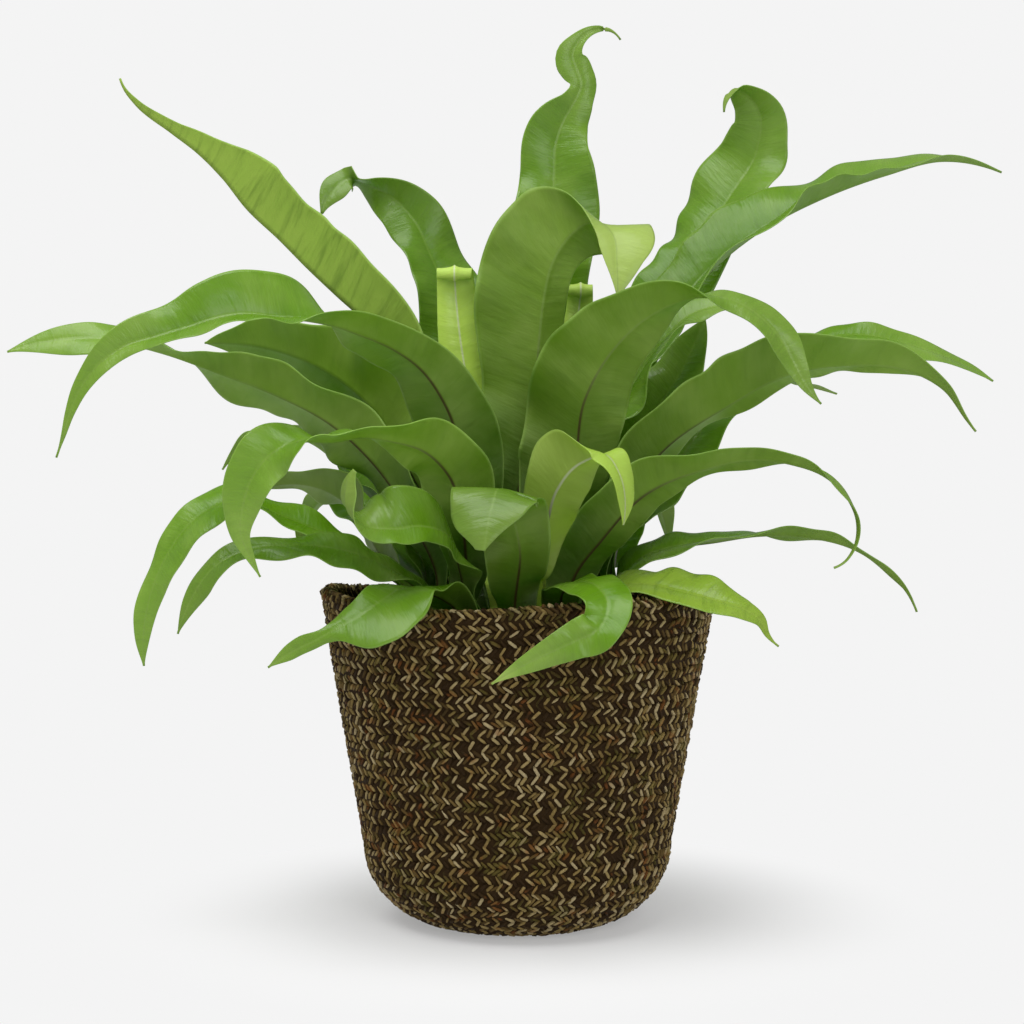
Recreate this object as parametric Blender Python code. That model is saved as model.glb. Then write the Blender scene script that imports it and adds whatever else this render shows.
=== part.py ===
"""A birds nest fern in its nursery pot, standing in a coiled basket.

The origin is the centre of the basket's flat base, +Z is up and -Y faces the viewer of the photograph.
Shapes are worked out in millimetres and turned into metres where each mesh is made.
"""

import math

import bpy
import numpy as np

MM = 0.001
SEGMENTS = 40  # facets round every lathed piece, so that nested walls stay parallel


# Shared helpers

def clear_scene():
    for thing in list(bpy.data.objects):
        bpy.data.objects.remove(thing)


def plain_material(name, colour):
    material = bpy.data.materials.new(name)
    material.use_nodes = True
    shader = material.node_tree.nodes["Principled BSDF"]
    shader.inputs["Base Color"].default_value = (*colour, 1.0)
    shader.inputs["Roughness"].default_value = 0.55
    return material


def add_object(name, points, faces, colour):
    mesh = bpy.data.meshes.new(name)
    mesh.from_pydata((np.asarray(points, float) * MM).tolist(), [], faces)
    mesh.update()
    mesh.materials.append(plain_material(name, colour))
    thing = bpy.data.objects.new(name, mesh)
    bpy.context.scene.collection.objects.link(thing)
    return thing


def ease(x):
    x = np.clip(x, 0.0, 1.0)
    return x * x * (3.0 - 2.0 * x)


def lathe(profile, lift=None):
    """Turns an (r, z) outline round Z. It starts and ends on the axis and runs outside first."""
    turns = np.arange(SEGMENTS) * 2.0 * math.pi / SEGMENTS
    inner = profile[1:-1]
    points = [(0.0, 0.0, profile[0][1])]
    for r, z in inner:
        for turn in turns:
            raised = z + (lift(r, z, turn) if lift else 0.0)
            points.append((r * math.cos(turn), r * math.sin(turn), raised))
    points.append((0.0, 0.0, profile[-1][1]))
    last = len(points) - 1
    faces = []
    for k in range(SEGMENTS):
        n = (k + 1) % SEGMENTS
        faces.append((0, 1 + n, 1 + k))
        for row in range(len(inner) - 1):
            a = 1 + row * SEGMENTS
            b = a + SEGMENTS
            faces.append((a + k, a + n, b + n))
            faces.append((a + k, b + n, b + k))
        top = 1 + (len(inner) - 1) * SEGMENTS
        faces.append((top + k, top + n, last))
    return points, faces


# Coiled basket: one wall of sewn braid rows, turned in at the bottom and open at the top

BASKET_COLOUR = (0.075, 0.045, 0.018)
WALL_FOOT_RADIUS = 64.9  # the wall's outer line carried down to z = 0
WALL_SLOPE = 0.173
WALL = 5.5
RIM_Z = 149.0
CORNER_RADIUS = 37.0
ROW_PITCH = 7.2
ROW_RELIEF = 0.4


def wall_radius(z):
    return WALL_FOOT_RADIUS + WALL_SLOPE * z


CORNER_CENTRE = wall_radius(CORNER_RADIUS) - CORNER_RADIUS


def rim_lift(r, z, turn):
    """The rim isn't level: it stands a little higher at the left and at the front right."""
    wave = 1.3 + 2.2 * math.cos(3.0 * (turn - math.radians(185)))
    return wave * float(ease((z - 105.0) / 45.0))


def outer_line(distance):
    """Point and outward direction on the basket's outside, this far from the edge of its flat base."""
    corner = CORNER_RADIUS * math.pi / 2
    if distance < corner:
        a = distance / CORNER_RADIUS - math.pi / 2
        point = (CORNER_CENTRE + CORNER_RADIUS * math.cos(a), CORNER_RADIUS * (1 + math.sin(a)))
        return point, (math.cos(a), math.sin(a))
    up = (distance - corner) / math.hypot(1, WALL_SLOPE)
    z = CORNER_RADIUS + up
    return (wall_radius(z), z), (1.0, 0.0)


def basket_outside():
    corner = CORNER_RADIUS * math.pi / 2
    length = corner + (RIM_Z - CORNER_RADIUS) * math.hypot(1, WALL_SLOPE)
    rows = round(length / ROW_PITCH)
    line = []
    for half_row in range(2 * rows + 1):
        distance = length * half_row / (2 * rows)
        (r, z), (out_r, out_z) = outer_line(distance)
        relief = ROW_RELIEF * (1 if half_row % 2 else -1) * float(ease(distance / 30.0))
        line.append((r + out_r * relief, max(z + out_z * relief, 0.0)))
    return line


def basket():
    rim = wall_radius(RIM_Z)
    line = [(0.0, 0.0)] + basket_outside()
    line += [(rim - 1.2, RIM_Z + 1.2), (rim - WALL + 1.2, RIM_Z + 1.2), (rim - WALL, RIM_Z - 0.6)]
    line += [(wall_radius(z) - WALL, z) for z in (128.0, 105.0, 82.0, 59.0)]
    bend = CORNER_RADIUS - WALL
    for degrees in range(0, -91, -10):
        a = math.radians(degrees)
        line.append((CORNER_CENTRE + bend * math.cos(a), CORNER_RADIUS + bend * math.sin(a)))
    line.append((0.0, WALL))
    add_object("basket", *lathe(line, rim_lift), BASKET_COLOUR)


# Nursery pot: thin dark plastic with a rolled band, its bottom edge resting in the basket's curve

POT_COLOUR = (0.012, 0.012, 0.013)
POT_BASE = (50.0, 10.2)  # radius and height of the bottom edge
POT_SHOULDER = (73.0, 118.0)
POT_WALL = 1.6
BAND = 4.0
BAND_TOP = 132.0


def pot_radius(z):
    """Outer radius of the tapered body."""
    share = (z - POT_BASE[1]) / (POT_SHOULDER[1] - POT_BASE[1])
    return POT_BASE[0] + (POT_SHOULDER[0] - POT_BASE[0]) * share


def nursery_pot():
    band = POT_SHOULDER[0] + BAND
    floor = POT_BASE[1] + POT_WALL
    line = [(0.0, POT_BASE[1]), POT_BASE, POT_SHOULDER]
    line += [(band, POT_SHOULDER[1]), (band + 0.5, BAND_TOP)]
    line += [(band - POT_WALL, BAND_TOP), (band - POT_WALL - 0.2, POT_SHOULDER[1] + 2.0)]
    line += [(pot_radius(117.0) - POT_WALL, 117.0), (pot_radius(floor) - POT_WALL, floor), (0.0, floor)]
    add_object("nursery_pot", *lathe(line), POT_COLOUR)


# Potting mix, filling the pot, with a plain round recess that takes the crown

SOIL_COLOUR = (0.035, 0.02, 0.011)
SOIL_TOP = 114.0
GAP = 0.3
RECESS_RADIUS = 40.5
RECESS_FLOOR = 95.0


def soil_bumps(r, z, turn):
    """Small lumps on the top, none at the pot's wall or at the edge of the recess."""
    if abs(z - SOIL_TOP) > 0.5:
        return 0.0
    inside = float(ease((r - RECESS_RADIUS) / 6.0) * ease((69.0 - r) / 6.0))
    lumps = math.sin(9 * turn + 0.31 * r) + math.sin(5 * turn - 0.53 * r)
    lumps += 0.7 * math.sin(14 * turn + 1.1 * r)
    return 0.8 * inside * lumps


def potting_soil():
    bottom = POT_BASE[1] + POT_WALL + GAP
    edge = [(pot_radius(z) - POT_WALL - GAP, z) for z in (bottom, SOIL_TOP)]
    line = [(0.0, bottom)] + edge
    line += [(r, SOIL_TOP) for r in (66.0, 61.5, 57.0, 52.5, 48.0, RECESS_RADIUS)]
    line += [(RECESS_RADIUS, RECESS_FLOOR), (0.0, RECESS_FLOOR)]
    add_object("potting_soil", *lathe(line, soil_bumps), SOIL_COLOUR)


# Crown: the domed rootstock that every frond grows from

CROWN_COLOUR = (0.03, 0.018, 0.009)
CROWN_Z = 105.0
CROWN_RADIUS = 40.0


def crown():
    bottom = RECESS_FLOOR + GAP
    start = math.degrees(math.asin((bottom - CROWN_Z) / CROWN_RADIUS))
    line = [(0.0, bottom)]
    for degrees in np.linspace(start, 80.0, 10):
        a = math.radians(degrees)
        line.append((CROWN_RADIUS * math.cos(a), CROWN_Z + CROWN_RADIUS * math.sin(a)))
    line.append((0.0, CROWN_Z + CROWN_RADIUS))
    add_object("crown", *lathe(line), CROWN_COLOUR)


# Fronds: long waved blades with a raised midrib, each on its own stalk from the crown

THICKNESS = 0.9
RIB_DEPTH = 0.7
ROWS = 22
FINE = 200  # stations along a midrib before rows are picked from it
STALK = 12.0  # each frond leaves the crown straight for this far
LEAST_HALF = 0.45  # half the width of a tip
SOFTENING = 13  # stations over which a corner in a blade's outline is rounded
SCROLL_ROWS = 26
SCROLL_RADIUS = 4.6
SCROLL_SHRINK = 0.26  # how much tighter each step of a rolled tip is
SCROLL_STEP = 35.0  # degrees
GREEN = (0.11, 0.30, 0.03)
PALE_GREEN = (0.33, 0.55, 0.11)
YELLOW_GREEN = (0.28, 0.38, 0.04)


def unit(v):
    return v / np.linalg.norm(v, axis=-1, keepdims=True)


def smooth_curve(points):
    """Evenly spaced stations on a smooth curve through the given points."""
    p = np.asarray(points, float)
    gap = np.linalg.norm(np.diff(p, axis=0), axis=1)
    chord = np.diff(p, axis=0) / gap[:, None]
    slope = np.empty_like(p)
    near = chord[:-1] * gap[1:, None] + chord[1:] * gap[:-1, None]
    slope[1:-1] = near / (gap[1:] + gap[:-1])[:, None]
    slope[0] = chord[0]
    slope[-1] = 2 * chord[-1] - slope[-2]
    start = np.concatenate([[0], np.cumsum(gap)])
    s = np.linspace(0, start[-1], 6 * FINE)
    i = np.clip(np.searchsorted(start, s) - 1, 0, len(gap) - 1)
    h = ((s - start[i]) / gap[i])[:, None]
    pull = gap[i][:, None]
    curve = (2 * h**3 - 3 * h**2 + 1) * p[i] + (3 * h**2 - 2 * h**3) * p[i + 1]
    curve += (h**3 - 2 * h**2 + h) * pull * slope[i] + (h**3 - h**2) * pull * slope[i + 1]
    run = np.concatenate([[0], np.cumsum(np.linalg.norm(np.diff(curve, axis=0), axis=1))])
    even = np.linspace(0, run[-1], FINE)
    return np.stack([np.interp(even, run, curve[:, k]) for k in range(3)], 1)


def along(values, u):
    """Values given at even steps along a frond, with a smooth curve between them."""
    v = np.atleast_1d(np.asarray(values, float))
    if len(v) == 1:
        return np.full_like(u, v[0])
    x = u * (len(v) - 1)
    i = np.clip(x.astype(int), 0, len(v) - 2)
    f = x - i
    padded = np.concatenate([[2 * v[0] - v[1]], v, [2 * v[-1] - v[-2]]])
    a, b, c, d = padded[i], padded[i + 1], padded[i + 2], padded[i + 3]
    curve = (2 * a - 5 * b + 4 * c - d) * f**2 + (3 * b - a - 3 * c + d) * f**3
    return 0.5 * (2 * b + (c - a) * f + curve)


def rolled_tip(tip):
    """The spiral that a young frond's top still makes, towards -Y."""
    points = []
    for step in range(1, 13):
        a = math.radians(SCROLL_STEP * step)
        r = SCROLL_RADIUS - SCROLL_SHRINK * step
        points.append((tip[0], tip[1] - SCROLL_RADIUS + r * math.cos(a), tip[2] + r * math.sin(a)))
    return points


def midrib(f):
    """Stations of the midrib, with the directions across the blade and out of its upper face."""
    azimuth, polar = math.radians(f["azimuth"]), math.radians(f["polar"])
    flat = math.sin(polar)
    out = np.array([math.cos(azimuth) * flat, math.sin(azimuth) * flat, math.cos(polar)])
    foot = np.array([0.0, 0.0, CROWN_Z]) + out * (CROWN_RADIUS + GAP)
    points = [foot, foot + out * STALK, *f["route"]]
    if f["scroll"]:
        points += rolled_tip(f["route"][-1])
    line = smooth_curve(points)
    ahead = unit(np.gradient(line, axis=0))
    heading = math.radians(f["heading"])
    across = np.array([-math.sin(heading), math.cos(heading), 0.0])
    side = unit(across - ahead * (ahead @ across)[:, None])
    face = np.cross(ahead, side)
    roll = np.radians(along(f["roll"], np.linspace(0, 1, FINE)))[:, None]
    return line, side * np.cos(roll) + face * np.sin(roll), face * np.cos(roll) - side * np.sin(roll)


def edge_line(u, share, half):
    """One half's width along the blade, its corners softened."""
    soft = np.hanning(SOFTENING) / np.hanning(SOFTENING).sum()
    padded = np.pad(np.interp(u, share, half), SOFTENING // 2, "edge")
    return np.maximum(np.convolve(padded, soft, "valid"), LEAST_HALF)


def half_widths(f, u):
    """The left and the right half of a blade, which narrows to a stalk below and to a point above."""
    if f["edges"]:
        share, left, right = np.transpose(f["edges"])
        return [edge_line(u, share, left), edge_line(u, share, right)]
    full, stem, belly, drip = f["width"] / 2, f["stem"] / 2, f["belly"], f["drip"]
    widening = stem + (full - stem) * ease(u / belly) ** 0.85
    s = np.clip((u - belly) / (1 - belly), 0, 1)
    taper = (1 - drip) * (1 - s**2.6) + drip * (1 + np.cos(math.pi * s**0.9)) / 2
    if f["scroll"]:
        taper = 1 - 0.25 * s
    half = np.maximum(np.where(u < belly, widening, full * taper), LEAST_HALF)
    return [half, half]


def blade(f, rows, columns):
    """Points of the blade's middle surface, at shares from -1 to 1 across it."""
    line, side, face = midrib(f)
    u = np.linspace(0, 1, FINE)
    v = np.asarray(columns, float)
    left_half, right_half = half_widths(f, u)
    half = np.where(v < 0, right_half[:, None], left_half[:, None])
    left, right, waves, phase = f["wave"]
    reach = ease(u / 0.25) * ease((1 - u) / 0.25)
    if f["scroll"]:
        reach = reach * (u < 0.7)
    offset = np.where(v < 0, 2.1, 0.0)
    turn = 2 * math.pi * waves * u[:, None] + phase
    ripple = np.sin(turn + offset) + 0.35 * np.sin(1.7 * turn + 2 * offset + 1.3)
    lift = reach[:, None] * np.where(v < 0, right, left) * np.abs(v) ** 1.4 * ripple
    lift = lift + along(f["fold"], u)[:, None] * half * np.abs(v)
    spread = half * v * (1 + 0.05 * np.sin(turn + 1.0 + 2 * offset))
    points = line[:, None] + side[:, None] * spread[:, :, None] + face[:, None] * lift[:, :, None]
    share = np.linspace(0, 1, rows)
    if f["scroll"]:
        straight = rows // 3
        share = np.concatenate([np.linspace(0, 0.8, straight), np.linspace(0.8, 1, rows - straight + 1)[1:]])
    return points[np.round(share * (FINE - 1)).astype(int)]


def blade_solid(f):
    """The middle surface thickened both ways, cut into triangles alike on both faces."""
    middle = blade(f, SCROLL_ROWS if f["scroll"] else ROWS, (-1, 0, 1))
    rows, columns = middle.shape[:2]
    normal = unit(np.cross(np.gradient(middle, axis=0), np.gradient(middle, axis=1)))
    upper = middle + normal * THICKNESS / 2
    lower = middle - normal * THICKNESS / 2
    lower[:, 1] -= normal[:, 1] * RIB_DEPTH
    points = np.concatenate([upper.reshape(-1, 3), lower.reshape(-1, 3)])
    other = rows * columns
    faces = []
    for i in range(rows - 1):
        for j in range(columns - 1):
            a, b = i * columns + j, i * columns + j + 1
            c, d = b + columns, a + columns
            faces += [(a, d, c), (a, c, b)]
            faces += [(a + other, b + other, c + other), (a + other, c + other, d + other)]
        a, d = i * columns, (i + 1) * columns
        faces += [(a, a + other, d + other), (a, d + other, d)]
        b, c = a + columns - 1, d + columns - 1
        faces += [(b, c + other, b + other), (b, c, c + other)]
    for j in range(columns - 1):
        a = j
        faces += [(a, a + 1, a + 1 + other), (a, a + 1 + other, a + other)]
        d = (rows - 1) * columns + j
        faces += [(d, d + 1 + other, d + 1), (d, d + other, d + 1 + other)]
    return points, faces


def frond(name, azimuth, polar, route, *, roll, fold, wave, **more):
    """One frond: where its foot stands on the crown, its midrib's route and the shape of its blade.

    azimuth and polar place the foot, in degrees. The blade's outline is either edges, its left and
    right half in mm at some shares of its length, or width, stem, belly and drip: its widest, its
    foot, the share of the length where it is widest, and how finely the tip is drawn out. roll turns
    the blade about its midrib, in degrees, and fold raises its edges, both at even steps from foot to
    tip. wave is the left and right ripple in millimetres, the number of ripples and their phase.
    """
    shape = dict(azimuth=azimuth, polar=polar, route=route, roll=roll, fold=fold, wave=wave)
    shape.update(edges=more.get("edges"), width=more.get("width"), stem=more.get("stem"))
    shape.update(belly=more.get("belly"), drip=more.get("drip"))
    shape.update(heading=more.get("heading", azimuth), scroll=more.get("scroll", False))
    points, faces = blade_solid(shape)
    add_object(name, points, faces, more.get("colour", GREEN))


def back_frond(name, azimuth, polar, reach, top, end, phase, *, width, roll, swing=0, low=False, fold=0.25):
    """A frond behind the plant, out of sight in the photograph: up, over and down by one rule."""
    start = 118.0
    rise = top - start
    if low:
        steps = [(0.38, start + 0.38 * rise), (0.55, start + 0.68 * rise), (0.74, start + 0.96 * rise),
                 (0.9, start + 0.94 * rise)]
    else:
        steps = [(0.3, start + 0.42 * rise), (0.5, start + 0.76 * rise), (0.72, start + 0.98 * rise),
                 (0.88, start + 0.96 * rise)]
    route = []
    for out, z in (*steps, (1.0, end)):
        turn = math.radians(azimuth + swing * out)
        route.append((reach * out * math.cos(turn), reach * out * math.sin(turn), z))
    wave = (3, 3, 4, phase)
    frond(name, azimuth, polar, route, width=width, stem=8, belly=0.5, drip=0.3, roll=roll, fold=fold,
          wave=wave)


# The inner fronds, nearly upright

def inner_fronds():
    frond("crozier_left", 205, 12,
          [(-13, 2, 167), (-16, 2, 204), (-22, 0, 242), (-27, -2, 274), (-29, -2, 299)],
          width=21, stem=9, belly=0.6, drip=0.0, roll=0, fold=0.1, wave=(0.6, 0.6, 3, 0),
          heading=90, scroll=True, colour=PALE_GREEN)
    frond("crozier_right", 40, 14,
          [(8, 10, 166), (15, 18, 213), (23, 24, 251), (28, 26, 275), (30, 26, 293)],
          width=15, stem=8, belly=0.6, drip=0.0, roll=0, fold=0.1, wave=(0.6, 0.6, 3, 1),
          heading=90, scroll=True, colour=PALE_GREEN)
    frond("centre_large", 272, 17,
          [(-2, -12, 168), (2, -14, 209), (8, -15, 245), (10, -15, 270), (12, -16, 288), (16, -17, 304),
           (23, -19, 315), (31, -24, 321), (38, -33, 320), (43, -40, 313), (44, -46, 301), (44, -50, 286)],
          edges=((0, 5, 5), (0.1, 6, 6), (0.2, 9, 10), (0.3, 13, 18), (0.4, 16, 24), (0.5, 18, 28),
                 (0.6, 19, 30), (0.7, 19, 30), (0.76, 19, 24), (0.8, 20, 18), (0.84, 23, 10), (0.9, 18, 8),
                 (1, 0, 0)),
          roll=(0, 0, 0, 0, 0, 0, 0, -5, -45, 0, 0), fold=0.1, wave=(2, 2, 4, 0.5))
    frond("back_centre_tall", 92, 17,
          [(-1, 18, 166), (4, 30, 228), (12, 38, 285), (17, 40, 334), (18, 43, 351), (19, 45, 366),
           (23, 46, 378), (28, 46, 387), (31, 46, 395), (29, 46, 402), (27, 46, 409), (30, 46, 415),
           (36, 46, 420), (44, 46, 421), (50, 46, 416)],
          edges=((0, 5, 5), (0.1, 6, 6), (0.3, 14, 14), (0.5, 20, 21), (0.64, 19, 22), (0.7, 17, 20),
                 (0.75, 16, 16), (0.78, 14, 13), (0.81, 8, 10), (0.84, 4, 7), (0.87, 9, 7), (0.89, 11, 7),
                 (0.91, 6, 3), (0.94, 3, 2), (0.97, 1, 1), (1, 0, 0)),
          roll=0, fold=0.15, wave=(3, 3, 5, 1.5))


# The middle fronds, rising and then arching over

def middle_fronds_left():
    frond("upper_left_long", 150, 38,
          [(-36, 21, 170), (-44, 26, 205), (-55, 31, 243), (-74, 38, 281), (-86, 42, 292), (-101, 47, 306),
           (-116, 52, 321), (-132, 57, 336), (-144, 60, 351), (-157, 63, 364), (-170, 66, 374),
           (-188, 68, 388), (-194, 68, 396), (-196, 68, 401)],
          edges=((0, 5, 5), (0.1, 6, 5), (0.3, 14, 11), (0.47, 17, 12), (0.58, 17, 12), (0.66, 17, 12),
                 (0.72, 19, 12), (0.78, 13, 10), (0.83, 8, 7), (0.89, 4, 4), (0.96, 2, 2), (1, 0, 0)),
          roll=(0, 20, 38, 45, 45, 45, 45, 45), fold=(0.2, 0.4, 0.8, 1, 1, 1, 1, 0.6), wave=(1, 1, 5.5, 0.3),
          colour=YELLOW_GREEN)
    frond("left_top_back", 110, 36,
          [(-16, 42, 174), (-24, 60, 223), (-31, 72, 262), (-35, 78, 293), (-44, 84, 316), (-52, 88, 333),
           (-62, 90, 344), (-74, 90, 351), (-84, 89, 354), (-92, 86, 348), (-98, 83, 336)],
          edges=((0, 5, 5), (0.1, 6, 6), (0.3, 13, 14), (0.5, 18, 19), (0.6, 16, 19), (0.7, 15, 17),
                 (0.77, 15, 15), (0.82, 12, 12), (0.87, 8, 8), (0.91, 6, 6), (0.95, 8, 8), (1, 0, 0)),
          roll=(0, 0, 0, 0, 0, 0, 0, 0, -20, -130, -170), fold=0.15, wave=(4, 4, 4.5, 2))
    frond("left_arch", 212, 37,
          [(-24, -25, 170), (-20, -35, 196), (-25, -43, 219), (-32, -50, 239), (-43, -56, 255),
           (-56, -61, 264), (-68, -66, 269), (-79, -69, 273), (-89, -72, 275), (-105, -76, 276),
           (-118, -79, 277), (-129, -82, 275), (-141, -84, 271), (-154, -86, 267), (-167, -87, 263),
           (-177, -88, 256), (-185, -88, 246), (-190, -88, 235), (-193, -88, 225), (-196, -88, 216)],
          edges=((0, 5, 5), (0.1, 6, 6), (0.2, 12, 12), (0.3, 19, 18), (0.36, 17, 18), (0.42, 13, 18),
                 (0.48, 10, 17), (0.53, 11, 17), (0.58, 16, 20), (0.64, 17, 19), (0.7, 15, 15),
                 (0.78, 10, 11), (0.83, 6, 8), (0.86, 6, 6), (0.9, 4, 4), (0.94, 2, 2), (1, 0, 0)),
          roll=(10, 30, 45, 45, 42, 25, -30, -40, -45, -45, -60),
          fold=(0.2, 0.2, 0.3, 0.3, 0.3, 0.3, 0.5, 0.6, 0.5, 0.2, 0.1), wave=(1.5, 2, 4.5, 0.4))
    frond("left_behind", 176, 40,
          [(-33, 0, 173), (-50, 4, 209), (-68, 10, 238), (-91, 16, 256), (-121, 22, 267), (-149, 26, 269)],
          width=46, stem=8, belly=0.6, drip=0.0, roll=(0, 20, 45, 50, 45), fold=0.15, wave=(3, 3, 6, 0))
    frond("left_mid_arch", 231, 50,
          [(-23, -40, 163), (-25, -54, 188), (-30, -66, 208), (-41, -75, 219), (-53, -81, 223),
           (-65, -84, 225), (-80, -87, 223), (-92, -88, 223), (-104, -88, 218), (-113, -88, 207),
           (-117, -87, 195), (-118, -86, 183), (-114, -85, 173), (-110, -85, 165)],
          edges=((0, 5, 5), (0.1, 6, 6), (0.25, 14, 12), (0.36, 19, 15), (0.45, 15, 11), (0.53, 13, 8),
                 (0.58, 12, 8), (0.64, 12, 12), (0.7, 11, 13), (0.75, 11, 13), (0.81, 10, 12), (0.86, 8, 9),
                 (0.92, 4, 4), (0.96, 2, 2), (1, 0, 0)),
          roll=(0, 20, 40, 45, 42, 35, 10, -20, -30, -35, -35), fold=0.15, wave=(3, 3, 5, 0))
    frond("left_horizontal", 194, 54,
          [(-36, -14, 156), (-47, -16, 184), (-65, -12, 211), (-87, -8, 231), (-112, -4, 244),
           (-138, 0, 254), (-166, 2, 264), (-195, 4, 270), (-218, 4, 269), (-238, 4, 264)],
          edges=((0, 4, 4), (0.1, 5, 5), (0.3, 14, 14), (0.45, 17, 20), (0.55, 15, 22), (0.65, 12, 19),
                 (0.72, 11, 17), (0.8, 12, 13), (0.88, 11, 9), (0.95, 5, 5), (1, 0, 0)),
          roll=(0, 15, 30, 40, 42, 40, 36, 20, -30, -55, -55), fold=(0.2, 0.2, 0.3, 0.2, 0),
          wave=(3, 2.5, 5, 2))


def middle_fronds_right():
    frond("right_back_tall", 58, 36,
          [(14, 40, 174), (35, 60, 228), (60, 74, 272), (85, 86, 311), (107, 94, 344),
           (122, 96, 370), (123, 94, 387), (117, 92, 396), (110, 89, 399), (105, 86, 393), (104, 85, 387)],
          edges=((0, 5, 5), (0.1, 6, 6), (0.3, 14, 15), (0.5, 17, 20), (0.6, 17, 23), (0.7, 22, 24),
                 (0.8, 22, 20), (0.86, 17, 14), (0.9, 14, 12), (0.94, 9, 6), (0.97, 4, 3), (1, 0, 0)),
          roll=(0, 10, 10, 0, 0, 30), fold=0.12, wave=(3, 3, 4, 0))
    frond("right_top_long", 30, 38,
          [(19, 24, 175), (40, 38, 223), (64, 48, 266), (92, 54, 303), (122, 58, 327),
           (151, 60, 342), (181, 62, 353), (210, 62, 360), (238, 60, 354)],
          edges=((0, 5, 5), (0.1, 6, 6), (0.25, 15, 15), (0.4, 19, 20), (0.5, 17, 20), (0.58, 17, 20),
                 (0.68, 21, 20), (0.8, 17, 15), (0.9, 12, 10), (0.96, 5, 5), (1, 0, 0)),
          roll=(10, 20, 18, 12, 0, 15), fold=(0.2, 0.4, 0.6, 0.6, 0.4, 0.2), wave=(2.5, 3, 5, 1))
    frond("right_front_arch", 322, 34,
          [(16, -25, 178), (26, -33, 213), (30, -42, 241), (42, -48, 263), (58, -54, 278),
           (78, -58, 286), (96, -62, 283), (112, -64, 270), (121, -65, 255), (126, -65, 246),
           (132, -65, 239)],
          edges=((0, 5, 5), (0.1, 6, 6), (0.2, 12, 16), (0.3, 17, 26), (0.4, 19, 28), (0.5, 17, 25),
                 (0.6, 14, 18), (0.68, 9, 11), (0.76, 6, 5), (0.82, 9, 7), (0.88, 8, 7), (0.94, 4, 4),
                 (1, 0, 0)),
          roll=(-5, -25, -50, -60, -60, -50, -35, -10, 25, 45, 45), fold=0.15, wave=(2, 3, 4, 2.4))
    frond("right_behind", 352, 35,
          [(17, -5, 177), (32, -4, 214), (51, -4, 244), (68, -4, 269), (83, -4, 282), (100, -6, 284),
           (112, -8, 276)],
          width=42, stem=9, belly=0.5, drip=0.3, roll=(0, 15, 30, 30, 30), fold=0.25, wave=(3, 3, 4, 0))
    frond("right_small", 8, 44,
          [(27, 5, 174), (44, 6, 203), (61, 7, 231), (78, 8, 257), (88, 8, 280)],
          width=38, stem=8, belly=0.65, drip=0.0, roll=(0, 15, 35, 45), fold=0.2, wave=(2.5, 2.5, 3, 1))
    frond("right_long_upper", 5, 59,
          [(39, 6, 162), (63, 16, 192), (86, 22, 225), (109, 28, 251), (133, 32, 267), (165, 34, 273),
           (196, 32, 266), (228, 30, 251)],
          edges=((0, 5, 5), (0.1, 6, 6), (0.3, 14, 15), (0.5, 16, 20), (0.6, 11, 19), (0.7, 8, 17),
                 (0.8, 7, 14), (0.9, 6, 9), (0.96, 4, 5), (1, 0, 0)),
          roll=(0, 20, 35, 35, 35, 35), fold=0.15, wave=(2.5, 2.5, 4, 0))
    frond("right_long_lower", 340, 53,
          [(29, -18, 161), (47, -24, 194), (68, -32, 221), (95, -34, 239), (122, -36, 253),
           (149, -36, 257), (174, -34, 255), (192, -32, 246), (203, -30, 232), (207, -30, 227)],
          edges=((0, 5, 5), (0.1, 6, 6), (0.25, 11, 14), (0.4, 11, 20), (0.5, 8, 22), (0.6, 8, 22),
                 (0.7, 10, 18), (0.8, 4, 13), (0.88, 3, 7), (0.94, 2, 3), (1, 0, 0)),
          roll=(0, -12, -38, -38, -30), fold=0.2, wave=(2.5, 2, 4.5, 1))
    frond("right_lower_arch", 320, 58,
          [(24, -36, 156), (39, -46, 181), (57, -56, 200), (79, -60, 210), (106, -62, 215),
           (120, -62, 213), (134, -61, 208), (144, -60, 199), (149, -59, 188), (148, -58, 176),
           (143, -58, 169), (139, -58, 167)],
          edges=((0, 5, 5), (0.1, 6, 6), (0.22, 11, 14), (0.35, 12, 16), (0.45, 9, 14), (0.55, 8, 9),
                 (0.65, 6, 6), (0.75, 3, 4), (0.85, 2, 3), (0.93, 2, 2), (1, 0, 0)),
          roll=(0, -30, -40, -35, -30, -30), fold=0.2, wave=(2, 2, 4, 1))


# The small fronds in front, bent over at the tip

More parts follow.
